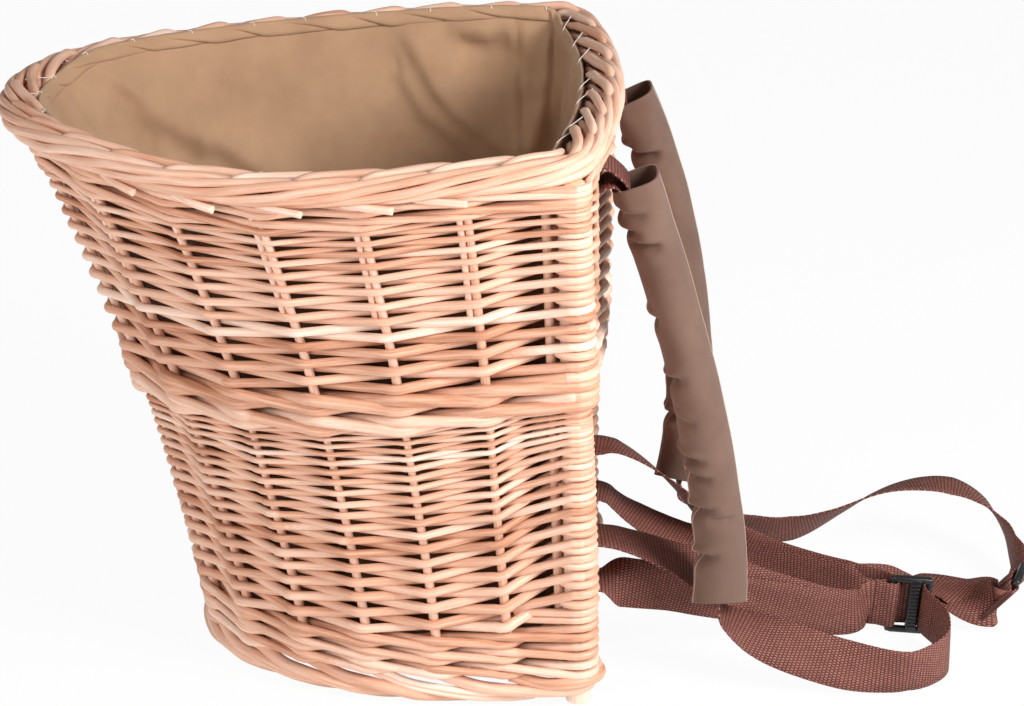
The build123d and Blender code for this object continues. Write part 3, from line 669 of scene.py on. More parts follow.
def rod_sizes(count, radius, seed):
    """Radii and tones round a row that is made of a few rods end to end."""
    pieces = chance.choice(RODS_IN_ROW)
    start = chance.random()
    radii, tones = [], []
    shades = [chance.gauss(*ROD_TONE) for n in range(pieces)]
    for n in range(count):
        place = (n / count + start) % 1 * pieces
        radii.append(radius * between(ROD_TAPER, place % 1) * (1 + waver(n * 0.09, seed, ROD_SWING)))
        tones.append(shades[int(place)])
    return radii, tones


def siding(name, levels, first_row, packing, node):
    """A zone of plain weave, row on row between the given levels."""
    rods = list(packing)
    for row, (low, high) in enumerate(zip(levels, levels[1:])):
        radius = (high - low) / 2 * ROW_FILL
        swap = first_row + row
        line, extras = siding_row((low + high) / 2, radius, lambda n: (n + swap) % 2 == 0, swap)
        line = [part_for_strap(point) for point in line]
        radii, tones = rod_sizes(len(line), radius, swap)
        rods.append((line, radii, tones, True))
        for extra in extras:
            rods.append((extra, radius * EXTRA_SIZE, chance.choice(tones), False))
    print(name, "rows", len(levels) - 1, "from", round(levels[0], 4), "to", round(levels[-1], 4))
    keep(lay_rods(name, rods), "basket", "willow", node)


def graded(base, top, first, last, count):
    """Levels between rows whose pitch shrinks evenly upwards."""
    pitches = np.linspace(first, last, count)
    shares = np.concatenate([[0], np.cumsum(pitches)]) / pitches.sum()
    return [base + (top - base) * share for share in shares]


LOWER_BASE, UPPER_TOP = 0.0615, 0.4
lower_levels = graded(LOWER_BASE, BAND_BASE, 7.4, 2.9, 34)
upper_levels = graded(BAND_TOP, UPPER_TOP, 7.5, 3.8, 23)
STRAP_LEVELS = [climbed(level, POSTS[RIGHT]) for level in (LOWER_BASE, lower_levels[3])]
print("straps leave the back at", STRAP_LEVELS)

# %% [markdown]
# Where the climb begins, above the bottom waling, short rods are packed in round the back and the posts.

# %% Packing and siding
PACKS, PACK_HEIGHT, PACK_FALL, PACK_TONE = 2, 0.0006, 0.006, 0.5


def packing_rod(number):
    """Short rod from one side wall round the back to the other."""
    low, high = (climbed(level, POSTS[RIGHT]) for level in (LOWER_BASE, LOWER_BASE + PACK_HEIGHT))
    pitch = (high - low) / PACKS
    level = low + pitch * (number + 0.5)
    marks = []
    ends = PACKS - number
    for n, station in enumerate(FRONT[-ends:] + [POSTS[LEFT]] + BACK + [POSTS[RIGHT]] + FRONT[:ends]):
        deep = min(n, 2 * ends + len(BACK) + 1 - n)
        here = level - (0.0 if station[0] != "front" else PACK_FALL * (ends - deep))
        if station[0] == "post":
            marks += outside_post(station[2], here, pitch / 2)
            continue
        point, out, along = stake_place(station, here)
        offset = stake_radius(here) + pitch / 2 * GRIP
        marks.append((point + out * (-offset if deep == 0 or (n + number) % 2 else offset), BEND))
    line = woven_line(marks)[3:-6]
    return [part_for_strap(point) for point in line], pitch / 2, PACK_TONE, False


siding("lower_weave", lower_levels, 1, [packing_rod(n) for n in range(PACKS)], "lower_siding")
siding("upper_weave", upper_levels, 0, [], "upper_siding")

# %% [markdown]
# Three bands of waling bind the wall: under the siding, round the middle and under the rim. Three rods
# work together, each passing outside two stakes and inside the third, so that slanting strokes lie on
# top of each other. The stake in the middle of the back counts twice, which makes the strokes close
# evenly round the basket.

# %% Waling
MIDDLE_STAKE = ROUND.index(("back", 0.0, 0))
MIDDLE_TWICE = [("back", share, 0) for share in (-0.06, 0.06)]
WALE_ROUND = ROUND[:MIDDLE_STAKE] + MIDDLE_TWICE + ROUND[MIDDLE_STAKE + 1:]
WALE_SWING, WALE_GRIP, WALE_BEND, WALE_FILL = 0.0008, 0.95, BEND * 1.5, 1.06


def wale_line(level, lift, radius, phase, seed):
    """One of the three rods of a round of waling."""
    marks = []
    for number, station in enumerate(WALE_ROUND):
        stroke = (number + phase) % 3
        height = climbed(level + (-lift, lift, 0.0)[stroke], station) + waver(number * 1.9, seed, WALE_SWING)
        if station[0] == "post":
            marks += (inside_post if stroke == 2 else outside_post)(station[2], height, radius)
            continue
        point, out, along = stake_place(station, height)
        offset = stake_radius(height) + radius * WALE_GRIP
        marks.append((point + out * (-offset if stroke == 2 else offset), WALE_BEND))
    return woven_line(marks)


def wale_band(name, low, high, rounds, node):
    """Band of waling between two heights."""
    pitch = (high - low) / rounds
    radius = pitch / 4 * WALE_FILL
    rods = []
    for turn in range(rounds):
        for phase in range(3):
            seed = turn * 3 + phase + len(name)
            line = wale_line(low + pitch * (turn + 0.5), pitch / 4, radius, phase + turn, seed)
            rods.append((line, *rod_sizes(len(line), radius, seed), True))
    keep(lay_rods(name, rods, 9), "basket", "willow", node)


WALE_BASE, TOP_WALE = 0.0245, 0.4195
wale_band("bottom_waling", WALE_BASE, LOWER_BASE, 3, "bottom_wale")
wale_band("middle_waling", BAND_BASE, BAND_TOP, 2, "middle_wale")
wale_band("top_waling", UPPER_TOP, TOP_WALE, 2, "top_wale")

# %% [markdown]
# The rim is a rolled border: each stake is bent over and laid along its neighbours on the outside, comes
# up to the top and goes under the next one, and a second row runs from there over to the inside. Cut
# ends come out underneath. Each strand here runs along the rim while it turns round it. The line of the
# rim is sampled once, at equal distances, with its direction outwards.

# %% Line round the basket
RIM_CORNER, RING_SAMPLES, SLOPE_SAMPLES, BOW_FADE = 0.018, 480, 5, 0.05
SIDE_POINTS, CORNER_POINTS, BACK_POINTS = 80, 14, 24


def ring_line(z, corner):
    """Points and outward directions at equal distances round the wall, from the front over the right."""
    out = wall_out(0.0, RIGHT, z)
    pull = corner * (1 - out.y) / out.x
    centre = Vector((half_back(z) - pull, POST_LINE - corner, z))
    turns = np.linspace(math.atan2(out.y, out.x), math.pi / 2, CORNER_POINTS)
    reaches, walked = reaches_along(z)
    half = [wall_point(float(np.interp(d, walked, reaches)), RIGHT, z)
            for d in np.linspace(walked[-1], corner * 2, SIDE_POINTS)]
    half += [centre + Vector((math.cos(a), math.sin(a), 0)) * corner for a in turns]
    half += [Vector((x, POST_LINE, z)) for x in np.linspace(centre.x, 0, BACK_POINTS)[1:-1]]
    whole = half + [Vector((-p.x, p.y, p.z)) for p in reversed(half[1:])]
    line = np.array([p[:2] for p in whole] + [whole[0][:2]])
    for point in line:
        near = smooth_step((point[1] - POST_LINE + BOW_FADE) / BOW_FADE)
        point[1] += near * (back_y(point[0], z) - POST_LINE)
    walked = walked_along(line)
    marks = np.linspace(0, walked[-1], RING_SAMPLES, endpoint=False)
    even = np.stack([np.interp(marks, walked, line[:, k]) for k in (0, 1)], 1)
    along = np.roll(even, -SLOPE_SAMPLES, 0) - np.roll(even, SLOPE_SAMPLES, 0)
    along /= np.linalg.norm(along, axis=1)[:, None]
    return even, np.stack([along[:, 1], -along[:, 0]], 1), walked[-1]


class Ring:
    """Closed line round the wall at one height, to walk along."""

    def __init__(self, z, corner):
        self.z = z
        self.points, self.outs, self.length = ring_line(z, corner)

    def at(self, distance, offset, rise=0.0):
        """Point at a distance along the line, an offset outwards and a rise above it."""
        spot = distance / self.length % 1 * RING_SAMPLES
        low, share = int(spot) % RING_SAMPLES, spot % 1
        high = (low + 1) % RING_SAMPLES
        point = self.points[low] * (1 - share) + self.points[high] * share
        out = self.outs[low] * (1 - share) + self.outs[high] * share
        point = point + out * offset
        return Vector((point[0], point[1], self.z + rise))


rim_ring = Ring((BORDER_BASE + RIM_HEIGHT) / 2, RIM_CORNER)
print("rim is", round(rim_ring.length, 3), "long")

# %% Rolled border
STRANDS, STRAND_RADIUS, INNER_RADIUS = 30, 0.0031, 0.0035
OUTER_STEPS = (-150, -108, -66, -16, 20, 40, 50, 68, 94)
OUTER_TURNS = (152, 126, 98, 62, 34, 20, 12, -20, -72)
OUTER_RISES = (0, 0, 0, 0.3, 0.5, -0.8, -4.5, -6, -5)
INNER_STEPS = (-7, 0, 7, 30, 52, 66, 84)
INNER_TURNS = (30, 26, 18, -14, -48, -84, -130)
INNER_RISES = (-6.5, -0.4, 1.8, 1.0, 0.8, 0, 0)
RIM_HALF, RIM_RISE, RIM_SHIFT, RIM_FLAT = 0.0114, 0.0084, -0.0017, 0.7
LOOSE, LOOSE_REACH = 0.0028, 0.09
STRAND_POINTS, STRAND_SIZES, STRAND_TONE = 40, (0.9, 1.12), (0.5, 0.12)
START_SWING, TURN_SWING, RISE_SWING, SPREAD_SWING, SIZE_SWING = 0.3, 8, 0.0008, 0.001, 0.1


def rim_place(distance, turn, rise=0.0, spread=0.0):
    """Point on the roll of the rim at a distance along it and a turn round it."""
    front = math.remainder(distance, rim_ring.length)
    wide = RIM_HALF + spread + LOOSE * math.exp(-(front / LOOSE_REACH) ** 2) * max(0.0, math.sin(turn))
    high = math.copysign(abs(math.cos(turn)) ** RIM_FLAT, math.cos(turn)) * (RIM_RISE + spread)
    return settle(rim_ring.at(distance, RIM_SHIFT + wide * math.sin(turn), high + rise))


def border_strand(number, steps, turns, rises, radius):
    """One strand, laid along the rim while it turns round it."""
    start = rim_ring.length * (number + waver(number, 3, START_SWING)) / STRANDS
    line = []
    for step in np.linspace(steps[0], steps[-1], STRAND_POINTS):
        turn = math.radians(np.interp(step, steps, turns) + waver(step * 0.03, number, TURN_SWING))
        rise = np.interp(step, steps, rises) * MM + waver(step * 0.02, number + 40, RISE_SWING)
        spread = waver(step * 0.02, number + 70, SPREAD_SWING)
        line.append(rim_place(start + step * MM, turn, rise, spread))
    size = radius * chance.uniform(*STRAND_SIZES)
    radii = [size * (1 + waver(n * 0.1, number + 9, SIZE_SWING)) for n in range(len(line))]
    return eased(line, 2), radii, chance.gauss(*STRAND_TONE), False


print("a strand leaves the rim every", round(rim_ring.length / STRANDS, 4), "m")

# %% Cut ends and the whole rim
BORDER_ENDS = (0.012, 0.208, 0.267, 0.328, 0.389, 0.438)
END_SPOTS = ((-0.036, 0.001, -0.0095), (-0.024, 0.0072, -0.0100), (-0.012, 0.0104, -0.0112),
             (0.0, 0.0116, -0.0132))
END_RADIUS, END_SIZES, END_TONE = 0.0027, (0.9, 1.1), (0.6, 0.1)


def border_end(distance):
    """Cut end of a strand that comes out under the rim and stops at a distance along it."""
    knots = [settle(rim_ring.at(distance + along, out, rise)) for along, out, rise in END_SPOTS]
    return bent_line(knots, 5), END_RADIUS * chance.uniform(*END_SIZES), chance.gauss(*END_TONE), False


rim_rods = [border_strand(n, OUTER_STEPS, OUTER_TURNS, OUTER_RISES, STRAND_RADIUS) for n in range(STRANDS)]
rim_rods += [border_strand(n, INNER_STEPS, INNER_TURNS, INNER_RISES, INNER_RADIUS) for n in range(STRANDS)]
rim_rods += [border_end(spot) for end in BORDER_ENDS for spot in (end, rim_ring.length - end)]
keep(lay_rods("rolled_border", rim_rods, 10), "basket", "willow", "border_outer_rod", "border_inner_rod",
     "border_turn_downs")

# %% [markdown]
# The basket stands on a foot that is made like the rim: the ends of the stakes slant down to the floor
# and run along it, each on top of the one before, and small openings stay between them. They pass
# outside the posts and rise a little there. One of them has split along its length.

# %% Foot
foot_ring = Ring(0.006, 0.012)
FOOT_RADIUS = 0.0047
FOOT_STEPS = (0, 13, 30, 60, 85, 105, 122)
FOOT_RISES = (25, 21.5, 17.5, 13, 9, 5.5, 4.7)
FOOT_OFFSETS = (3, 4.5, 6.5, 7, 6, 0, -3.5)
FOOT_POINTS, FOOT_SWING, FOOT_SIZES, FOOT_TONE = 48, 1.6, (0.95, 1.06), (0.45, 0.1)
SWING_FROM, LIFT_FROM = 20, 40
POST_PUSH, PUSH_WIDTH, POST_LIFT, LIFT_WIDTH = 11, 26, 8, 30
SPLIT_STAKE, SPLIT_GAP, SPLIT_RADIUS = FRONT[2], 0.0022, FOOT_RADIUS * 0.55
SPLIT_TONES = {1: 0.95, -1: 0.7}


def along_ring(ring, point):
    """Distance along a ring to the place nearest to a point."""
    nearest = np.argmin(np.linalg.norm(ring.points - np.array(point[:2]), axis=1))
    return ring.length * int(nearest) / RING_SAMPLES


post_marks = [along_ring(foot_ring, stake_place(post, 0.0)[0]) for post in POSTS.values()]


def foot_strand(station):
    """One strand, from a stake down to the floor and along it, lifted round the posts."""
    start = along_ring(foot_ring, stake_place(station, FOOT_TOP)[0])
    line = []
    for step in np.linspace(0, FOOT_STEPS[-1], FOOT_POINTS):
        here = start + step * MM
        away = min(abs(math.remainder(here - mark, foot_ring.length)) for mark in post_marks) / MM
        swing = waver(step * 0.03, start * 40, FOOT_SWING) * min(1, step / SWING_FROM)
        rise = max(FOOT_RISES[-1], np.interp(step, FOOT_STEPS, FOOT_RISES) + swing)
        rise += POST_LIFT * min(1, step / LIFT_FROM) * math.exp(-(away / LIFT_WIDTH) ** 2)
        offset = np.interp(step, FOOT_STEPS, FOOT_OFFSETS) + POST_PUSH * math.exp(-(away / PUSH_WIDTH) ** 2)
        line.append(foot_ring.at(here, offset * MM, rise * MM - foot_ring.z))
    return eased(line, 3)


foot_rods = []
for station in ROUND:
    line = foot_strand(station)
    if station != SPLIT_STAKE:
        foot_rods.append((line, FOOT_RADIUS * chance.uniform(*FOOT_SIZES), chance.gauss(*FOOT_TONE), False))
        continue
    for side, tone in SPLIT_TONES.items():
        half = [point + Vector((0, 0, side * SPLIT_GAP)) for point in line]
        foot_rods.append((half, SPLIT_RADIUS, tone, False))
keep(lay_rods("foot_border", foot_rods, 10), "basket", "willow", "foot_rod", "foot_back_rod", "foot_pegs")

# %% [markdown]
# The base is a flat weave of split rods that sits behind the bottom waling and hardly shows. Copies of
# its CAD solids are true enough, drawn in to the inside of the waling and given a plain willow.

# %% Base
plain_willow = new_material("plain willow", (206, 158, 128), 0.55)
grain = noise_at(plain_willow, None, 60.0, 4.0, 0.6)
shades = ramp(plain_willow, grain, (0.3, (180, 128, 98)), (0.7, (222, 178, 146)))
finish_surface(plain_willow, shades, grain, 0.3, 0.001)
BASE_MIDDLE = Vector((0, POST_LINE - front_depth(0) / 2, 0))
BASE_SHRINK, BASE_LIFT = Vector((0.95, 0.95, 1.0)), 0.004


def base_piece(name):
    """Copy of a solid of the base, drawn in to the inside of the waling."""
    piece = bpy.data.objects[name].copy()
    piece.data = piece.data.copy()
    piece.name = name + "_rods"
    bpy.context.collection.objects.link(piece)
    for corner in piece.data.vertices:
        reach = min(1.0, max(0.0, (BACK_LINE - corner.co.y) / front_depth(corner.co.z)))
        corner.co.y -= POST_SHIFT * (1 - reach)
        corner.co = BASE_MIDDLE + (corner.co - BASE_MIDDLE) * BASE_SHRINK
        corner.co.z += BASE_LIFT
    piece.data.materials.clear()
    piece.data.materials.append(plain_willow)
    return keep(piece, "basket", "willow", name)


bases = [base_piece(name) for name in ("base_hoop", "base_back_rod", "base_sticks", "base_weave")]
print("base of", [piece.name for piece in bases])

# %% [markdown]
# A cotton lining hangs inside the basket and is rolled over at the rim in a hem. It is a sheet that
# follows the wall at a small distance. Its folds are written down as lines on the cloth, each with a
# depth and a width on either side, because a simulation would not put them where the photograph shows
# them. At each corner an upright seam joins the sides to the back panel.

# %% Cotton
def make_cloth(name, base, dark, thread):
    """Plain woven cloth with a fine thread on its own UV map."""
    made = new_material(name, base, 0.85)
    plane = add_node(made, "UVMap", uv_map="weave").outputs["UV"]
    waves = [add_node(made, "TexWave", plane, thread, 0.6, 2.0, 1.5, bands_direction=way).outputs["Fac"]
             for way in ("X", "Y")]
    weave = reckon(made, "MULTIPLY", *waves)
    shade = reckon(made, "MULTIPLY_ADD", weave, 0.14, noise_at(made, None, 22.0, 5.0, 0.6))
    finish_surface(made, ramp(made, shade, (0.3, dark), (0.75, base)), weave, 0.2, 0.0003)
    made.node_tree.nodes["Principled BSDF"].inputs["Sheen Weight"].default_value = 0.15
    return made


cotton = make_cloth("lining cotton", (194, 155, 121), (174, 136, 104), 700.0)
# A darker copy of the cotton for the side that faces the wicker: painted shade, so that the gaps in the weave
# look dark.
cotton_painted_shade = make_cloth("lining cotton, painted shade", (116, 76, 48), (97, 61, 37), 700.0)
print("made", cotton.name, "and", cotton_painted_shade.name)


# %% Sheet helpers
def tube_faces(rows, columns, mark):
    """Faces between closed rows of corners, and the UV marks that a function gives for their corners."""
    faces, marks = [], []
    for r in range(rows - 1):
        for n in range(columns):
            corners = ((r, n), (r, n + 1), (r + 1, n + 1), (r + 1, n))
            faces.append(tuple(row * columns + column % columns for row, column in corners))
            for corner in corners:
                marks += mark(*corner)
    return faces, marks


def lay_sheet(name, rows, cloth, thickness, size):
    """Sheet through closed rows of points, with a UV map in metres, thickened both ways."""
    count, last = len(rows[0]), len(rows) - 1
    faces, marks = tube_faces(last + 1, count, lambda row, n: (n / count * size[0], row / last * size[1]))
    corners = [point[:] for row in rows for point in row]
    piece = new_piece(name, corners, faces, "weave", marks, [False] * len(faces), [cloth])
    piece["area"] = sum(face.area for face in piece.data.polygons)
    if thickness:
        apply_modifier(piece, "SOLIDIFY", thickness=thickness, offset=0.0)
    print(name, "of", len(piece.data.polygons), "faces and", round(piece["area"], 4), "square metres")
    return piece


# %% Lining
LINING_INSET, LINING_CORNER, CLOTH = 0.0175, 0.0185, 0.0014
LINING_FLOOR, LINING_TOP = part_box("lining_side")[0].z, RIM_HEIGHT - 0.0065
LINING_COLUMNS, LINING_ROWS = 440, 84
# Each fold has a depth, a width above and one below in millimetres, and its line: shares of the round
# and heights in millimetres.
FOLDS = ((11, 32, 14, ((0.912, 402), (0.886, 376), (0.866, 364), (0.855, 350), (0.840, 330))),
         (3, 8, 6, ((0.883, 417), (0.900, 403), (0.911, 383), (0.915, 350))),
         (2.5, 6, 7, ((0.875, 400), (0.882, 382), (0.884, 360))),
         (3, 8, 8, ((0.976, 429), (0.972, 409), (0.966, 388))),
         (4, 45, 30, ((0.812, 420), (0.799, 395), (0.797, 340))),
         (9, 26, 9, ((0.731, 428), (0.723, 406), (0.718, 390), (0.710, 374), (0.699, 360), (0.676, 337))),
         (5, 16, 8, ((0.737, 398), (0.729, 371), (0.719, 359), (0.700, 335))),
         (7, 14, 3.5, ((0.704, 431), (0.697, 426), (0.687, 424), (0.676, 429), (0.668, 435))),
         (-10, 12, 14, ((0.697, 414), (0.688, 410), (0.676, 411))),
         (-4, 7, 7, ((0.658, 396), (0.645, 402))), (-5, 7, 7, ((0.662, 376), (0.650, 384))),
         (8, 7, 11, ((0.642, 422), (0.652, 385), (0.661, 345))),
         (-6, 9, 9, ((0.616, 412), (0.627, 381), (0.642, 345))),
         (5, 20, 10, ((0.560, 440), (0.575, 340))), (8, 30, 14, ((0.08, 400), (0.13, 370), (0.17, 330))),
         (7, 26, 10, ((0.27, 424), (0.29, 380), (0.325, 335))), (5, 20, 12, ((0.43, 440), (0.45, 330))))
SEAMS, SEAM_WIDTH, SEAM_DEPTH = (0.333, 0.667), 2.2, 2.5
SEAM_SWELL, SWELL_WIDTH = 2, 9
HEM_LIFT, LIFT_REACH = 0.0088, 0.05
LIFT_START, LIFT_END, START_FADE, END_FADE = 0.605, 0.985, 0.05, 0.06


def hem_lift(share):
    """How much higher the lining is drawn up on the left side, at a share of the round."""
    lift = HEM_LIFT * smooth_step((share - LIFT_START) / START_FADE)
    return lift * smooth_step((LIFT_END - share) / END_FADE)


def fold_depth(u, z, lines, whole):
    """Depth of the folds, in millimetres, at places along the cloth and heights."""
    depth = np.zeros_like(u)
    for amount, above, below, line in lines:
        near, side = np.full_like(u, 1e9), np.zeros_like(u)
        for (su, sz), (eu, ez) in zip(line, line[1:]):
            du, dz = (eu - su) * whole, ez - sz
            ou, oz = u - su * whole, z - sz
            share = np.clip((ou * du + oz * dz) / (du * du + dz * dz), 0, 1)
            away = np.hypot(ou - share * du, oz - share * dz)
            side = np.where(away < near, du * oz - dz * ou, side)
            near = np.minimum(near, away)
        depth += amount * np.exp(-(near / np.where(side < 0, above, below)) ** 2)
    return depth


print("lining with", len(FOLDS), "folds and", len(SEAMS), "seams")

# %% Wall of the lining
INSIDE_SHARE = 0.93
SLACK_TOP, SLACK_FLOOR = 0.03, 0.06
WAVES_ROUND, WAVES_UP, WAVE_DEPTH, WAVE_INWARD = 4, 9, 2.2, 0.8
share, height = np.meshgrid(np.arange(LINING_COLUMNS) / LINING_COLUMNS,
                            np.linspace(LINING_FLOOR, LINING_TOP, LINING_ROWS + 1))
rings = [Ring(z, LINING_CORNER) for z in height[:, 0]]
whole = rings[-1].length / MM * INSIDE_SHARE
depth = fold_depth(share * whole, height / MM, FOLDS, whole)
for seam in SEAMS:
    away = np.abs(share - seam) * whole
    depth += SEAM_SWELL * np.exp(-(away / SWELL_WIDTH) ** 2)
    depth -= (SEAM_DEPTH + SEAM_SWELL) * np.exp(-(away / SEAM_WIDTH) ** 2)
rows = []
for row, ring in enumerate(rings):
    slack = smooth_step((LINING_TOP - ring.z) / SLACK_TOP)
    slack *= smooth_step((ring.z - LINING_FLOOR) / SLACK_FLOOR)
    points = []
    for column in range(LINING_COLUMNS):
        around = share[row, column] * 2 * math.pi
        wave = Vector((math.cos(around) * WAVES_ROUND, math.sin(around) * WAVES_ROUND, ring.z * WAVES_UP))
        soft = noise.noise(wave) * WAVE_DEPTH + WAVE_INWARD
        inward = LINING_INSET + (depth[row, column] + soft) * slack * MM
        lift = hem_lift(share[row, column]) * smooth_step((ring.z - LINING_TOP + LIFT_REACH) / LIFT_REACH)
        points.append(settle(ring.at(share[row, column] * ring.length, -inward)) + Vector((0, 0, lift)))
    rows.append(points)
lining = lay_sheet("lining_wall", rows, cotton, CLOTH, (whole * MM, LINING_TOP - LINING_FLOOR))
keep(lining, "basket", "lining_cotton", "lining_side", "lining_back")
centre = Vector((0, POST_LINE - front_depth(LINING_FLOOR) / 2, LINING_FLOOR))
# Faces turned out towards the wicker take the darker copy of the cotton, which is painted shade.
lining.data.materials.append(cotton_painted_shade)
for face in lining.data.polygons:
    away = face.center - centre
    face.material_index = int(face.normal.x * away.x + face.normal.y * away.y > 0)

# %% Lining floor
FLOOR_ROWS, FLOOR_COLUMNS = 12, 160
FLOOR_GAP, RIPPLE, RIPPLE_RISE = 0.0012, 0.0012, 0.0008
FLOOR_REACH, FLOOR_CLEAR, FLOOR_THICK, FLOOR_WEAVE = 0.995, 0.0004, CLOTH * 0.8, (0.7, 0.14)
floor_ring = Ring(LINING_FLOOR, LINING_CORNER)
rows = []
for n in range(FLOOR_ROWS + 1):
    row = []
    for k in range(FLOOR_COLUMNS):
        edge = floor_ring.at(floor_ring.length * k / FLOOR_COLUMNS, -LINING_INSET - FLOOR_GAP)
        point = edge.lerp(centre, n / FLOOR_ROWS * FLOOR_REACH)
        ripple = (RIPPLE * noise.noise(point * 25) + RIPPLE_RISE) * (1 - (n / FLOOR_ROWS) ** 8)
        row.append(point + Vector((0, 0, CLOTH / 2 + FLOOR_CLEAR + ripple)))
    rows.append(row)
lining_floor = lay_sheet("lining_floor", rows, cotton, FLOOR_THICK, FLOOR_WEAVE)
keep(lining_floor, "basket", "lining_cotton", "lining_bottom")

# %% [markdown]
# The hem is a roll of the same cloth, sewn to the rim with white thread. The stitches pull it into
# slanted lobes.

# %% Rolled hem
HEM_HEIGHT, HEM_BULGE, HEM_ROWS = 0.0095, 0.0040, 12
HEM_START, HEM_SPAN, HEM_DROP, DROP_SWING = 0.06, 0.94, 0.0016, 0.0012
LOBES, LOBE_SLANT, LOBE_COLUMNS = 27, 0.8, 26
LOBE_LEAST, LOBE_SPAN, LOBE_RISE, LOBE_FALL = 0.35, 0.65, 0.8, 0.12


def lobe_place(share):
    """Where a place along the hem lies in its lobe, before the slant."""
    return share * LOBES + waver(share * 31, 5, 0.35)


def lobe_swell(phase):
    """How full a lobe is at a place in it: it swells slowly from one stitch and falls off at the next."""
    full = LOBE_SPAN * min(1.0, phase / LOBE_RISE) ** 0.7 * min(1.0, (1 - phase) / LOBE_FALL) ** 0.5
    return LOBE_LEAST + full


rows = []
for n in range(HEM_ROWS + 1):
    height = n / HEM_ROWS
    ring = Ring(LINING_TOP - HEM_HEIGHT * (1 - height), LINING_CORNER)
    row = []
    for k in range(LOBES * LOBE_COLUMNS):
        share = k / (LOBES * LOBE_COLUMNS)
        phase = (lobe_place(share) - LOBE_SLANT * height) % 1
        lobe = lobe_swell(phase)
        bulge = math.sin(math.pi * (HEM_START + HEM_SPAN * height ** 0.8)) ** 0.6 * HEM_BULGE * lobe
        drop = (1 - height) * (HEM_DROP * lobe + waver(share * 60, 8, DROP_SWING))
        point = settle(ring.at(share * ring.length, -LINING_INSET - bulge, -drop))
        row.append(point + Vector((0, 0, hem_lift(share))))
    rows.append(row)
hem = lay_sheet("lining_hem_fold", rows, cotton, CLOTH, (whole * MM, HEM_HEIGHT))
keep(hem, "basket", "lining_cotton", "lining_hem")

# %% Stitches
THREAD_RADIUS, STITCH_PLACE, STITCH_SWING = 0.0004, 0.25, 0.5
STITCH_INSIDE = ((0.0, -0.0205, -0.0025), (0.002, -0.0185, 0.001))
STITCH_OVER = ((0.014, -52), (0.02, -32))
thread = new_material("white thread", (238, 226, 214), 0.7)
top_ring = Ring(LINING_TOP, LINING_CORNER)
stitches = []
for number in range(LOBES):
    share = (number + STITCH_PLACE + waver(number, 14, STITCH_SWING)) / LOBES
    spot, lift = top_ring.length * share, Vector((0, 0, hem_lift(share)))
    knots = [settle(top_ring.at(spot + along, out, rise)) + lift for along, out, rise in STITCH_INSIDE]
    spot = rim_ring.length * share
    knots += [rim_place(spot + along, math.radians(turn), 0.0, STRAND_RADIUS) for along, turn in STITCH_OVER]
    stitches.append((bent_line(knots, 3), THREAD_RADIUS, 0.5, False))
threads = keep(lay_rods("hem_stitches", stitches, 6, (thread, thread)), "basket", "lining_cotton")

# %% [markdown]
# The straps are flat webbing, 38 mm wide. Their routes are splines whose points were chosen to
# follow the photograph, close to the CAD ribbons, and a flat section is laid along each spline, turned
# as the strap lies: flat where it leaves the wall, on edge where it runs over the floor.

# %% Webbing
WEB_COLOURS = ((166, 105, 91), (145, 85, 72), (62, 23, 15))
STITCH_LENGTH, RIB_PITCH, RIB_GAP = 0.0020, 0.0028, 0.0008


def make_webbing():
    """Woven webbing with ribs across it, each a row of short stitches."""
    made = new_material("webbing", (148, 92, 80), 0.75)
    split = add_node(made, "SeparateXYZ", add_node(made, "UVMap", uv_map="weave").outputs["UV"])
    plane = add_node(made, "CombineXYZ", split.outputs["Y"], split.outputs["X"]).outputs[0]
    colours = [screen_colour(*colour) for colour in WEB_COLOURS]
    pattern = add_node(made, "TexBrick", plane, *colours, 1.0, RIB_GAP, 0.8, 0.0, STITCH_LENGTH, RIB_PITCH)
    pattern.offset = 0.5
    cloud = noise_at(made, None, 30.0, 4.0, 0.6)
    shade = add_node(made, "MapRange", cloud, 0.3, 0.7, 0.0, 0.15).outputs[0]
    colour = mix_colours(made, shade, pattern.outputs["Color"], screen_colour(150, 96, 84))
    finish_surface(made, colour, reckon(made, "SUBTRACT", 1.0, pattern.outputs["Fac"]), 0.5, 0.0006)
    return made


webbing = make_webbing()
print("made", webbing.name)


# %% Strap helpers
def spline_points(route, steps=12):
    """Points along a smooth spline that takes a route's points as its controls."""
    curve = bpy.data.curves.new("route", "CURVE")
    curve.dimensions = "3D"
    curve.resolution_u = steps
    spline = curve.splines.new("NURBS")
    spline.points.add(len(route) - 1)
    for control, point in zip(spline.points, route):
        control.co = (*point, 1.0)
    spline.order_u = 3
    spline.use_endpoint_u = True
    holder = bpy.data.objects.new("route", curve)
    bpy.context.collection.objects.link(holder)
    mesh = bpy.data.meshes.new_from_object(holder)
    points = [corner.co.copy() for corner in mesh.vertices]
    bpy.data.objects.remove(holder)
    bpy.data.meshes.remove(mesh)
    return points


def walked_shares(points):
    """Share of the whole length at each point, and the length."""
    runs = [0.0] + [(b - a).length for a, b in zip(points, points[1:])]
    walked = np.cumsum(runs)
    return walked / walked[-1], float(walked[-1])


print("strap helpers ready")

# %% Flat section
WEB_WIDTH, WEB_THICK = 0.038, 0.0016
WEB_SECTION = [(-0.5, 0.0), (-0.488, -0.42), (-0.25, -0.5), (0.0, -0.5), (0.25, -0.5), (0.488, -0.42),
               (0.5, 0.0), (0.488, 0.42), (0.25, 0.5), (0.0, 0.5), (-0.25, 0.5), (-0.488, 0.42)]
WEB_ACROSS = [x for x, y in WEB_SECTION]


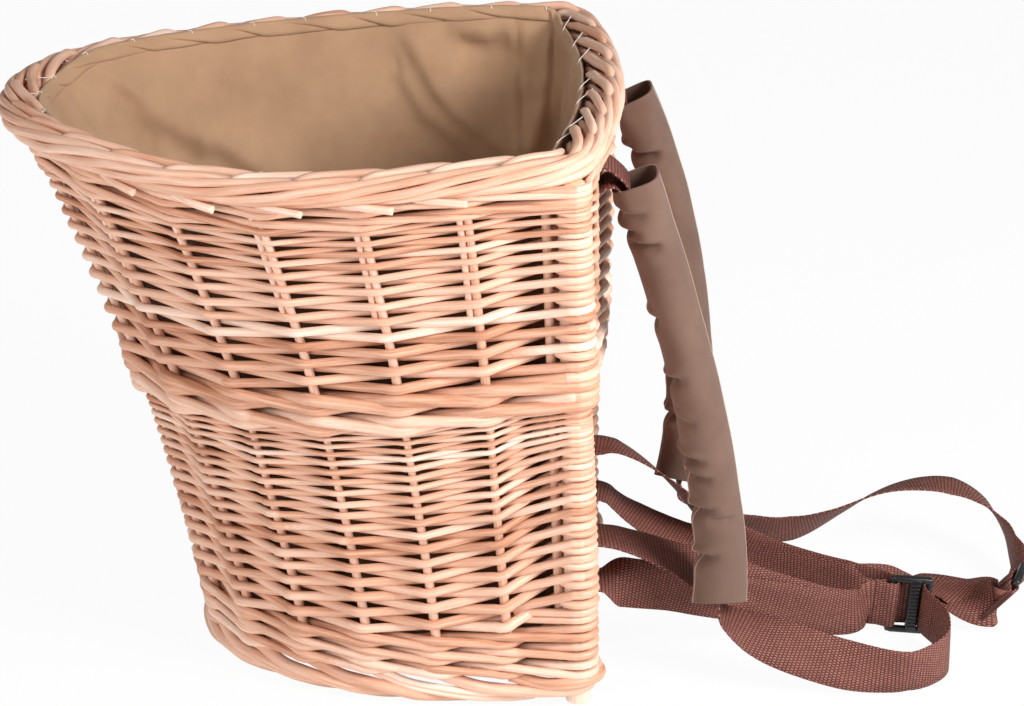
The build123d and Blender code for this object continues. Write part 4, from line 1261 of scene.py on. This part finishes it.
def lay_webbing(name, points, lays, width=WEB_WIDTH, thickness=WEB_THICK):
    """Webbing along points, its width in the direction given for each of them."""
    shares, length = walked_shares(points)
    count, size = len(points), len(WEB_SECTION)
    corners = []
    for n, point in enumerate(points):
        along = (points[min(n + 1, count - 1)] - points[max(n - 1, 0)]).normalized()
        across = lays[n] - along * lays[n].dot(along)
        across.normalize()
        normal = along.cross(across)
        corners += [point + across * (x * width) + normal * (y * thickness) for x, y in WEB_SECTION]
    faces, marks = tube_faces(count, size, lambda row, k: (shares[row] * length, WEB_ACROSS[k % size] * width))
    last = (count - 1) * size
    faces += [tuple(reversed(range(size))), tuple(last + k for k in range(size))]
    marks += [0.0, 0.0] * 2 * size
    ends = [False] * (len(faces) - 2) + [True, True]
    piece = new_piece(name, [point[:] for point in corners], faces, "weave", marks, ends, [webbing])
    print(name, "is", round(length / MM), "mm long")
    return piece


def lays_along(points, route, lays):
    """Width directions at points, between those stated at a route's points."""
    shares, marks = walked_shares(points)[0], walked_shares(route)[0]
    table = np.array([lay[:] for lay in lays])
    return [Vector([float(np.interp(s, marks, table[:, k])) for k in range(3)]) for s in shares]


# %% Routes of the straps
FLAT = Vector((1, 0, 0))
PAD_X = 0.1019
PAD_ARC = {RIGHT: ((33.5, 401), (80, 222), (95, 66)), LEFT: ((33.5, 401), (80.5, 235), (71, 73))}
BUCKLE_CENTRE = {RIGHT: place(30, 246, 25.6), LEFT: place(3, 322, 23)}
BUCKLE_ALONG = {RIGHT: Vector((0, 0.9962, -0.0872)), LEFT: Vector((-0.95, 0.31, 0)).normalized()}
BUCKLE_ACROSS = {RIGHT: Vector((0, 0.0872, 0.9962)), LEFT: Vector((0.19905, 0.61, 0.76699)).normalized()}
# Each point of a route has its place and how far the strap is tilted there, in degrees from flat.
FREE_ROUTE = {
    RIGHT: [((104, 111, 47), -18), ((113, 134, 39), -45), ((120, 161, 31), -66), ((124, 190, 23), -72),
            ((128, 218, 20), -92), ((129, 238, 20), -103), ((118, 255, 20), -97), ((101, 269, 20), -92),
            ((82, 272, 21), -90)],
    LEFT: [((-101, 94, 42), 40), ((-98, 130, 30), 57), ((-99, 163, 27), 57), ((-103, 200, 41), 36),
           ((-109, 235, 58), 23), ((-113, 268, 63), 10), ((-112, 296, 62), 2), ((-104, 320, 52), 8),
           ((-88, 336, 35), 25), ((-62, 341, 24), 60)],
}
LOW_STRAND = {
    RIGHT: [((80, 27, 71), -72), ((71, 62, 62), -88), ((62, 94, 50), -90), ((52, 148, 37), -90),
            ((46, 183, 26), -90), ((40, 206, 24), -90)],
    LEFT: [((-79, 22, 62), -2), ((-72, 43, 51), -12), ((-63, 68, 38), -30), ((-53, 100, 26), -66),
           ((-44, 128, 22), -85), ((-34, 155, 21), -90), ((-12, 205, 20), -88), ((-9, 232, 20), -58),
           ((-8, 258, 17), -5), ((8, 288, 18), -2)],
}
HIGH_STRAND = {
    RIGHT: [((78, 32, 104), -3), ((72, 62, 88), -14), ((64, 90, 70), -50), ((56, 122, 52), -80),
            ((50, 150, 41), -90), ((45, 182, 28), -90), ((40, 206, 24), -90)],
    LEFT: [((-79, 24, 112), 10), ((-73, 48, 99), 20), ((-65, 72, 80), 33), ((-53, 105, 50), 65),
           ((-44, 130, 34), 88), ((-35, 153, 28), 90), ((-16, 204, 21), 88), ((-14, 232, 21), 62),
           ((-17, 262, 22), 6), ((-2, 288, 22), -2)],
}
# Marks on a buckle are millimetres along it and above its plane.
BUCKLE_LEAD = {RIGHT: ((22, 34), (16, 22), (12.6, 15.5), (10.6, 9)),
               LEFT: ((40, 6), (30, 8), (20, 9.5), (12.6, 7.5))}
SEWN, STRANDS_APART = {RIGHT: (-33.0, -26.8), LEFT: (-24.0, -22.0)}, 0.95
WALL_INSIDE, WALL_OUTSIDE = -23.8, 8.0
print("buckles at", [[round(v, 3) for v in centre] for centre in BUCKLE_CENTRE.values()])


# %% Places on the straps
def tilted(degrees):
    """Direction of a strap's width at a tilt, with its left edge up where the tilt is negative."""
    turn = math.radians(degrees)
    return Vector((math.cos(turn), 0, math.sin(turn)))


def buckle_point(side, along, normal=0.0):
    """Point in the plane of a buckle, in millimetres along it and above it."""
    up = BUCKLE_ALONG[side].cross(BUCKLE_ACROSS[side])
    return BUCKLE_CENTRE[side] + (BUCKLE_ALONG[side] * along + up * normal) * MM


def pad_arc(side, count):
    """Points along the arc on which a sleeve hangs, through the three points given for its side."""
    (ay, az), (by, bz), (cy, cz) = PAD_ARC[side]
    d = 2 * (ay * (bz - cz) + by * (cz - az) + cy * (az - bz))
    sa, sb, sc = ay * ay + az * az, by * by + bz * bz, cy * cy + cz * cz
    oy = (sa * (bz - cz) + sb * (cz - az) + sc * (az - bz)) / d
    oz = (sa * (cy - by) + sb * (ay - cy) + sc * (by - ay)) / d
    radius = math.hypot(ay - oy, az - oz)
    first, last = math.atan2(az - oz, ay - oy), math.atan2(cz - oz, cy - oy)
    points = []
    for turn in np.linspace(first, last, count):
        points.append(place(side * PAD_X / MM, oy + radius * math.cos(turn), oz + radius * math.sin(turn)))
    return points


def lay_strap(name, side, start, table, marks):
    """Strap from its first points, flat, along a table of places and tilts to marks on its buckle."""
    route = start + [place(*point) for point, tilt in table] + [buckle_point(side, *mark) for mark in marks]
    lays = [FLAT] * len(start) + [tilted(tilt) for point, tilt in table]
    lays += [BUCKLE_ACROSS[side] * math.copysign(1, table[-1][1])] * len(marks)
    points = spline_points(route)
    return lay_webbing(name, points, lays_along(points, route, lays)), points


print("sleeve arcs in m", [round(walked_shares(pad_arc(side, 40))[1], 3) for side in (RIGHT, LEFT)])

# %% Free straps and lower strands
SLEEVE_TAIL, SLEEVE_LEAD = 0.03, 0.010
straps = {}
for side in (RIGHT, LEFT):
    arc = pad_arc(side, 60)
    end, down = arc[-1], (arc[-1] - arc[-2]).normalized()
    start = [end - down * SLEEVE_TAIL, end, end + down * SLEEVE_LEAD]
    name = SIDE_NAME[side] + "_free_webbing"
    straps[side, "free"] = lay_strap(name, side, start, FREE_ROUTE[side], BUCKLE_LEAD[side][:2])
for side in (RIGHT, LEFT):
    for kind, table, level, layer in (("low", LOW_STRAND, STRAP_LEVELS[0], 1),
                                      ("high", HIGH_STRAND, STRAP_LEVELS[1], -1)):
        start = [place(side * STRAP_X / MM, y, level / MM) for y in (WALL_INSIDE, WALL_OUTSIDE)]
        marks = [(along, layer * side * STRANDS_APART) for along in SEWN[side]]
        name = SIDE_NAME[side] + "_" + kind + "_strand"
        straps[side, kind] = lay_strap(name, side, start, table[side], marks)

# %% Loops through the back
LOOP_WIDTH, INNER_WIDTH = WEB_WIDTH * 0.95, WEB_WIDTH * 0.68
LOOP_ROUTE = ((-8, 398), (-8, 417.5), (4, 418), (13, 415), (23, 407), (29, 400), (30, 394), (27, 392),
              (23.5, 396), (18.5, 401), (11, 399), (4, 391), (-8, 388))
ANCHOR_DEPTH = -24.7
anchor_low, anchor_high = (level / MM for level in STRAP_LEVELS)
ANCHOR_ROUTE = ((0, anchor_low), (ANCHOR_DEPTH, anchor_low), (ANCHOR_DEPTH, (anchor_low + anchor_high) / 2),
                (ANCHOR_DEPTH, anchor_high), (0, anchor_high))


def wall_loop(side, name, x, route, width, node):
    """Loop of webbing through the back wall, along places behind the wall and heights."""
    points = spline_points([place(side * x / MM, y, z) for y, z in route])
    piece = lay_webbing(SIDE_NAME[side] + name, points, [FLAT] * len(points), width)
    keep(piece, "basket", "webbing", SIDE_NAME[side] + node)


def sleeve_webbing(side):
    """Doubled webbing inside a sleeve."""
    name = SIDE_NAME[side]
    arc = pad_arc(side, 40)[3:-2]
    inner = lay_webbing(name + "_sleeve_webbing", arc, [FLAT] * len(arc), INNER_WIDTH, WEB_THICK * 2)
    keep(inner, name + "_pad", "webbing", name + "_pad_webbing")


print("anchor turns from", round(anchor_low, 1), "to", round(anchor_high, 1), "mm")

# %% Ends at the buckles
BAR_PLACE, BAR_LOOP, BAR_TURN, BAR_POINTS = -14, 4.4, 2.0, 14
SEWN_SIDE = ((-30, 1.0), (-24, 1.1), (-20.5, 2.2), (-17.5, 3.9))
THREAD_ROUTE = ((9.9, 4), (9.7, -0.5), (8.6, -4), (4, -5.2), (-3, -5), (-9, -4.4))


def sewn_end(side):
    """End of the lower strands, sewn round the back bar of a buckle."""
    profile = list(SEWN_SIDE)
    for turn in np.linspace(BAR_TURN, -BAR_TURN, BAR_POINTS):
        profile.append((BAR_PLACE + BAR_LOOP * math.cos(turn), BAR_LOOP * math.sin(turn)))
    profile += [(along, -normal) for along, normal in reversed(SEWN_SIDE)]
    points = [buckle_point(side, *mark) for mark in profile]
    sewn = lay_webbing(SIDE_NAME[side] + "_sewn_end", points, [BUCKLE_ACROSS[side]] * len(points))
    keep(sewn, "basket", "webbing")


def threaded_end(side):
    """End of the free strap, over the front bar and down behind the ribs."""
    name = SIDE_NAME[side]
    profile = [buckle_point(side, *mark) for mark in BUCKLE_LEAD[side][1:] + THREAD_ROUTE]
    points = spline_points(profile, 6)
    threaded = lay_webbing(name + "_threaded_end", points, [BUCKLE_ACROSS[side]] * len(points))
    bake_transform(threaded)
    return threaded


print("sewn ends turn round a bar with", BAR_LOOP, "mm")


# %% Strands tied to the basket, free straps baked in place
def tie_free_strap(side, threaded):
    """Bake a free strap in place and hide its CAD solid."""
    name = SIDE_NAME[side]
    piece, points = straps[side, "free"]
    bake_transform(piece)
    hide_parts(name + "_free_strap")
    shares, length = walked_shares(points)


def tie_strands(side):
    """Tie the two lower strands to the basket."""
    for kind in ("low", "high"):
        piece, points = straps[side, kind]
        keep(piece, "basket", "webbing")
        if kind == "low":
            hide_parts(SIDE_NAME[side] + "_lower_straps")
        shares, length = walked_shares(points)


for side in (RIGHT, LEFT):
    wall_loop(side, "_hanging_loop", PAD_X, LOOP_ROUTE, LOOP_WIDTH, "_top_loop")
    wall_loop(side, "_anchor_turn", STRAP_X, ANCHOR_ROUTE, WEB_WIDTH, "_anchor_loop")
    sleeve_webbing(side)
    sewn_end(side)
    tie_free_strap(side, threaded_end(side))
    tie_strands(side)

# %% [markdown]
# Padded sleeves hang from the top loops. Each is a soft tube of brown cloth round a strip of foam, open
# at both ends and creased across on the side that faces the wall, where the bend crowds it. The tube is
# laid with its creases already pressed in by a formula, which gives almost all of its form. A cloth
# simulation then holds the creases and the ends and lets a little pressure settle the cloth between
# them, by less than a millimetre.

# %% Sleeve shape
sleeve_cloth = make_cloth("sleeve cloth", (115, 87, 73), (97, 71, 58), 600.0)
# Shares of the length with half the width, half the depth, and the shift from the arc of the right and
# the left sleeve, in millimetres.
SLEEVE_SHAPE = np.array(((0.0, 21.3, 17.8, 0, 0), (0.03, 21.6, 18, -0.5, -0.5), (0.1, 22.3, 18, -1.5, -1.5),
                         (0.29, 23, 17.6, -1.3, -4), (0.45, 23, 17.8, 0, -5.5), (0.62, 23, 18.6, 1, -5),
                         (0.8, 23, 19, 2.8, -2), (0.9, 22.5, 19.6, 3, -1), (1.0, 19.5, 20.6, 0.4, 0)))
# Each crease has its first and last share of the length, its first and last turn in degrees and its depth.
CREASES = {RIGHT: ((0.042, 0.046, 110, 46, 4.5), (0.052, 0.062, 38, -8, 3.5), (0.086, 0.099, 120, 14, 8.5),
                   (0.122, 0.137, 52, -30, 7), (0.297, 0.302, 110, 36, 6.5), (0.452, 0.438, 110, 8, 7),
                   (0.54, 0.545, 70, 10, 3), (0.628, 0.636, 115, -2, 9), (0.668, 0.678, 65, -8, 6),
                   (0.760, 0.745, 100, -12, 7), (0.770, 0.776, 5, -50, 4.5), (0.880, 0.855, 110, -6, 7)),
           LEFT: ((0.03, 0.04, 110, 50, 4), (0.108, 0.112, 118, 38, 9), (0.125, 0.138, 55, -34, 8),
                  (0.235, 0.228, 110, -14, 5), (0.285, 0.28, 60, -14, 5), (0.42, 0.43, 110, 10, 6),
                  (0.56, 0.55, 105, -4, 6), (0.69, 0.70, 110, 0, 7), (0.82, 0.81, 105, -14, 6))}
SLEEVE_SIDES, SLEEVE_RINGS = 40, 260
CREASE_ABOVE, CREASE_BELOW, SLEEVE_LENGTH = 1.7, 5.6, 345.0
CREASE_FADE, CREASE_LEAD, LEAD_FADE = 0.45, 0.45, 0.6
# Beside each crease the cloth stands proud: by a share of its depth, at a distance, over a width.
CREASE_RIDGES = ((0.32, -5.5, 3.2), (0.1, 14, 6))
MOUTH_SQUARE, MOUTH_REACH, END_SLANT = 0.4, 0.12, 0.4
SLEEVE_RIPPLE, RIPPLES_ROUND, RIPPLES_ALONG = 0.03, 1.2, 9
print("creases", {SIDE_NAME[side]: len(lines) for side, lines in CREASES.items()})


# %% Sleeve points
def creased(side, share, turn):
    """How far a sleeve's creases press in at a place, in millimetres."""
    depth = 0.0
    for first, last, start, stop, deep in CREASES[side]:
        part = (turn - start) / (stop - start)
        fade = smooth_step((1 - part) / CREASE_FADE) * smooth_step((part + CREASE_LEAD) / LEAD_FADE)
        away = (share - first - (last - first) * min(1.0, max(0.0, part))) * SLEEVE_LENGTH
        pressed = math.exp(-(away / (CREASE_ABOVE if away < 0 else CREASE_BELOW)) ** 2)
        for share_proud, middle, width in CREASE_RIDGES:
            pressed -= share_proud * math.exp(-((away - middle) / width) ** 2)
        depth += deep * fade * pressed
    return depth


def sleeve_point(side, arc, n, turn):
    """Point of a sleeve's cloth at a ring and a turn, and how deep a crease is there."""
    share = n / SLEEVE_RINGS
    along = (arc[min(n + 1, SLEEVE_RINGS)] - arc[max(n - 1, 0)]).normalized()
    across = along.cross(FLAT)
    wide, deep, shift = (np.interp(share, SLEEVE_SHAPE[:, 0], SLEEVE_SHAPE[:, k])
                         for k in (1, 2, 3 if side == RIGHT else 4))
    press = creased(side, share, math.degrees(turn))
    wave = Vector((math.cos(turn) * RIPPLES_ROUND, math.sin(turn) * RIPPLES_ROUND,
                   share * RIPPLES_ALONG + side))
    ripple = 1 + SLEEVE_RIPPLE * noise.noise(wave)
    square = 1 - MOUTH_SQUARE * smooth_step((MOUTH_REACH - share) / MOUTH_REACH)
    x, y = (math.copysign(abs(part) ** square, part) * size * ripple
            for part, size in ((math.cos(turn), wide), (math.sin(turn), deep)))
    inward = max(0.0, 1 - press / math.hypot(x, y))
    slant = along * (-x * END_SLANT * smooth_step((share - 1 + MOUTH_REACH) / MOUTH_REACH))
    return arc[n] + (FLAT * x * inward + across * (y * inward - shift) + slant) * MM, press


print("deepest crease", max(crease[-1] for lines in CREASES.values() for crease in lines), "mm")

# %% Cloth simulation
SWELL, SWELL_CAP, SWELL_FRAMES = 4.0, 0.005, 20


def swell(piece, held):
    """Blow up a soft piece with a cloth simulation, its held points fixed, and keep the result."""
    group = piece.vertex_groups.new(name="held")
    for n, weight in enumerate(held):
        group.add([n], weight, "REPLACE")
    cloth = piece.modifiers.new("cloth", "CLOTH")
    cloth.settings.vertex_group_mass = "held"
    cloth.settings.use_pressure = True
    cloth.settings.uniform_pressure_force = SWELL
    cloth.settings.effector_weights.gravity = 0.0
    for number in range(1, SWELL_FRAMES + 1):
        bpy.context.scene.frame_set(number)
    moved = piece.evaluated_get(bpy.context.evaluated_depsgraph_get()).data
    steps = [b.co - a.co for a, b in zip(piece.data.vertices, moved.vertices)]
    piece.modifiers.remove(cloth)
    bpy.context.scene.frame_set(1)
    for corner, step in zip(piece.data.vertices, steps):
        corner.co += step * min(1.0, SWELL_CAP / max(step.length, 1e-9))
    piece.vertex_groups.clear()
    print(piece.name, "swelled by up to", round(max(step.length for step in steps) / MM, 1), "mm")


# %% Sleeves
seam_cloth = new_material("sleeve seam", (170, 140, 124), 0.8)
# Each seam runs along one column of the cloth, from a ring to another.
SEAM_COLUMNS = ((31, 0, SLEEVE_RINGS), (8, 170, SLEEVE_RINGS))
SEAM_RADIUS, SEAM_RISE, SLEEVE_THICK, HOLD_DEPTH = 0.0005, 0.0001, 0.0018, 1.5
SLEEVE_FLAT = (0.145, 0.34)


def sleeve(side):
    """Padded sleeve along its arc, with its seams."""
    arc = pad_arc(side, SLEEVE_RINGS + 1)
    rows, held = [], []
    for n in range(SLEEVE_RINGS + 1):
        row = []
        for k in range(SLEEVE_SIDES):
            turn = 2 * math.pi * k / SLEEVE_SIDES
            point, press = sleeve_point(side, arc, n, turn if turn < math.pi else turn - 2 * math.pi)
            row.append(point)
            end = n < 2 or n > SLEEVE_RINGS - 2
            held.append(1.0 if end else min(1.0, max(0.0, press / HOLD_DEPTH)))
        rows.append(row)
    name = SIDE_NAME[side]
    piece = lay_sheet(name + "_sleeve", rows, sleeve_cloth, 0.0, SLEEVE_FLAT)
    swell(piece, held)
    corners = [corner.co.copy() for corner in piece.data.vertices]
    lines = []
    for column, first, last in SEAM_COLUMNS:
        spots = [corners[n * SLEEVE_SIDES + column] for n in range(first, last + 1)]
        outs = [(spot - arc[n]).normalized() for n, spot in zip(range(first, last + 1), spots)]
        lines.append(([spot + out * SEAM_RISE for spot, out in zip(spots, outs)], SEAM_RADIUS, 0.5, False))
    seams = lay_rods(name + "_sleeve_seams", lines, 6, (seam_cloth, seam_cloth))
    keep(seams, name + "_pad", "sleeve_cloth")
    apply_modifier(piece, "SUBSURF", levels=1, render_levels=1)
    apply_modifier(piece, "SOLIDIFY", thickness=SLEEVE_THICK, offset=-1.0)
    keep(piece, name + "_pad", "sleeve_cloth", name + "_pad_cover", name + "_pad_foam")


for side in (RIGHT, LEFT):
    sleeve(side)

# %% [markdown]
# The buckles are moulded plastic ladders: two rails, a round bar for the sewn end, a broad ribbed bar in
# the middle and a front bar. The free strap comes over the front bar and goes down behind the ribs.

# %% Buckles
buckle_plastic = new_material("black plastic", (24, 23, 24), 0.32)
# Each bar has its middle along, across and above the buckle, its length, width and thickness and the
# round of its edges, in millimetres. The last ones are the ribs.
BUCKLE_BARS = [(-14, 0, 0, 5, 48, 5, 2.2), (3.6, 0, 0.8, 9, 46, 5.6, 1.6), (14, 0, 0, 5, 48, 5, 2.2),
               (1.25, -21.75, 0, 30.5, 4.5, 6.5, 1.8), (1.25, 21.75, 0, 30.5, 4.5, 6.5, 1.8)]
BUCKLE_BARS += [(3.6, 3.0 * n, 3.4, 6.8, 1.4, 1.8, 0.5) for n in range(-6, 7)]


def buckle_bar(length, width, thick, bevel):
    """Rounded bar of a buckle, in its plane."""
    bpy.ops.object.select_all(action="DESELECT")
    bpy.ops.mesh.primitive_cube_add(size=1)
    bar = bpy.context.object
    bar.scale = (length * MM, width * MM, thick * MM)
    bpy.ops.object.transform_apply(scale=True)
    apply_modifier(bar, "BEVEL", width=bevel * MM, segments=4)
    return bar


def buckle(side):
    """Ladder buckle, placed in its plane."""
    parts = []
    for along, across, normal, *sizes in BUCKLE_BARS:
        bar = buckle_bar(*sizes)
        for corner in bar.data.vertices:
            corner.co += Vector((along, across, normal)) * MM
        parts.append(bar)
    bpy.ops.object.select_all(action="DESELECT")
    for bar in parts:
        bar.select_set(True)
    bpy.context.view_layer.objects.active = parts[0]
    bpy.ops.object.join()
    piece = bpy.context.object
    name = SIDE_NAME[side]
    piece.name = name + "_ladder_buckle"
    axes = [BUCKLE_ALONG[side], BUCKLE_ACROSS[side], BUCKLE_ALONG[side].cross(BUCKLE_ACROSS[side])]
    for corner in piece.data.vertices:
        corner.co = sum((axis * size for axis, size in zip(axes, corner.co)), BUCKLE_CENTRE[side])
    bpy.ops.object.shade_smooth_by_angle(angle=SHARP)
    piece.data.materials.append(buckle_plastic)
    return keep(piece, name + "_buckle", "buckle_plastic", name + "_buckle")


buckles = [buckle(side) for side in (RIGHT, LEFT)]
print("buckles", [piece.name for piece in buckles])

# %% [markdown]
# The basket stands on a white floor under soft light. The key light comes from the right of the
# camera, as the brighter right side in the photograph shows.

# %% Floor
FLOOR_SIZE = 14
WHITE, PAPER, GLOW_SHARE = (1, 1, 1, 1), (0.92, 0.92, 0.92, 1), 0.95
bpy.ops.object.select_all(action="DESELECT")
bpy.ops.mesh.primitive_plane_add(size=FLOOR_SIZE)
floor = bpy.context.object
floor.name = "floor"
white = bpy.data.materials.new("white floor")
white.use_nodes = True
tree = white.node_tree
tree.nodes.remove(tree.nodes["Principled BSDF"])
paper = add_node(white, "BsdfDiffuse", PAPER)
glow = add_node(white, "Emission", WHITE, 1.0)
path = add_node(white, "LightPath")
seen = reckon(white, "MAXIMUM", path.outputs["Is Camera Ray"], path.outputs["Is Glossy Ray"])
seen = reckon(white, "MAXIMUM", seen, path.outputs["Is Transmission Ray"])
share = reckon(white, "MULTIPLY", seen, GLOW_SHARE)
mixed = add_node(white, "MixShader", share, paper.outputs[0], glow.outputs[0])
tree.links.new(mixed.outputs[0], tree.nodes["Material Output"].inputs["Surface"])
floor.data.materials.append(white)
print("made", white.name)

# %% Lamps
SKY_STRENGTH = 0.23
LAMP_TARGET = Vector((0, 0, 0.2))
# Each lamp has its place and size in metres and its power: the key light, the fill and a low kicker.
LAMPS = (((0.95, 1.35, 1.25), 0.7, 33), ((2.0, -1.3, 0.85), 1.6, 30), ((0.6, 1.15, 0.4), 0.35, 4.5))
world = bpy.data.worlds.new("studio")
bpy.context.scene.world = world
world.use_nodes = True
sky = world.node_tree.nodes["Background"]
sky.inputs["Color"].default_value = WHITE
sky.inputs["Strength"].default_value = SKY_STRENGTH


def soft_box(spot, size, power):
    """Square lamp that faces the basket."""
    bpy.ops.object.light_add(type="AREA", location=spot)
    lamp = bpy.context.object
    lamp.data.size, lamp.data.energy = size, power
    lamp.rotation_euler = (LAMP_TARGET - Vector(spot)).to_track_quat("-Z", "Y").to_euler()


for lamp in LAMPS:
    soft_box(*lamp)
print("floor and", len(LAMPS), "lamps")
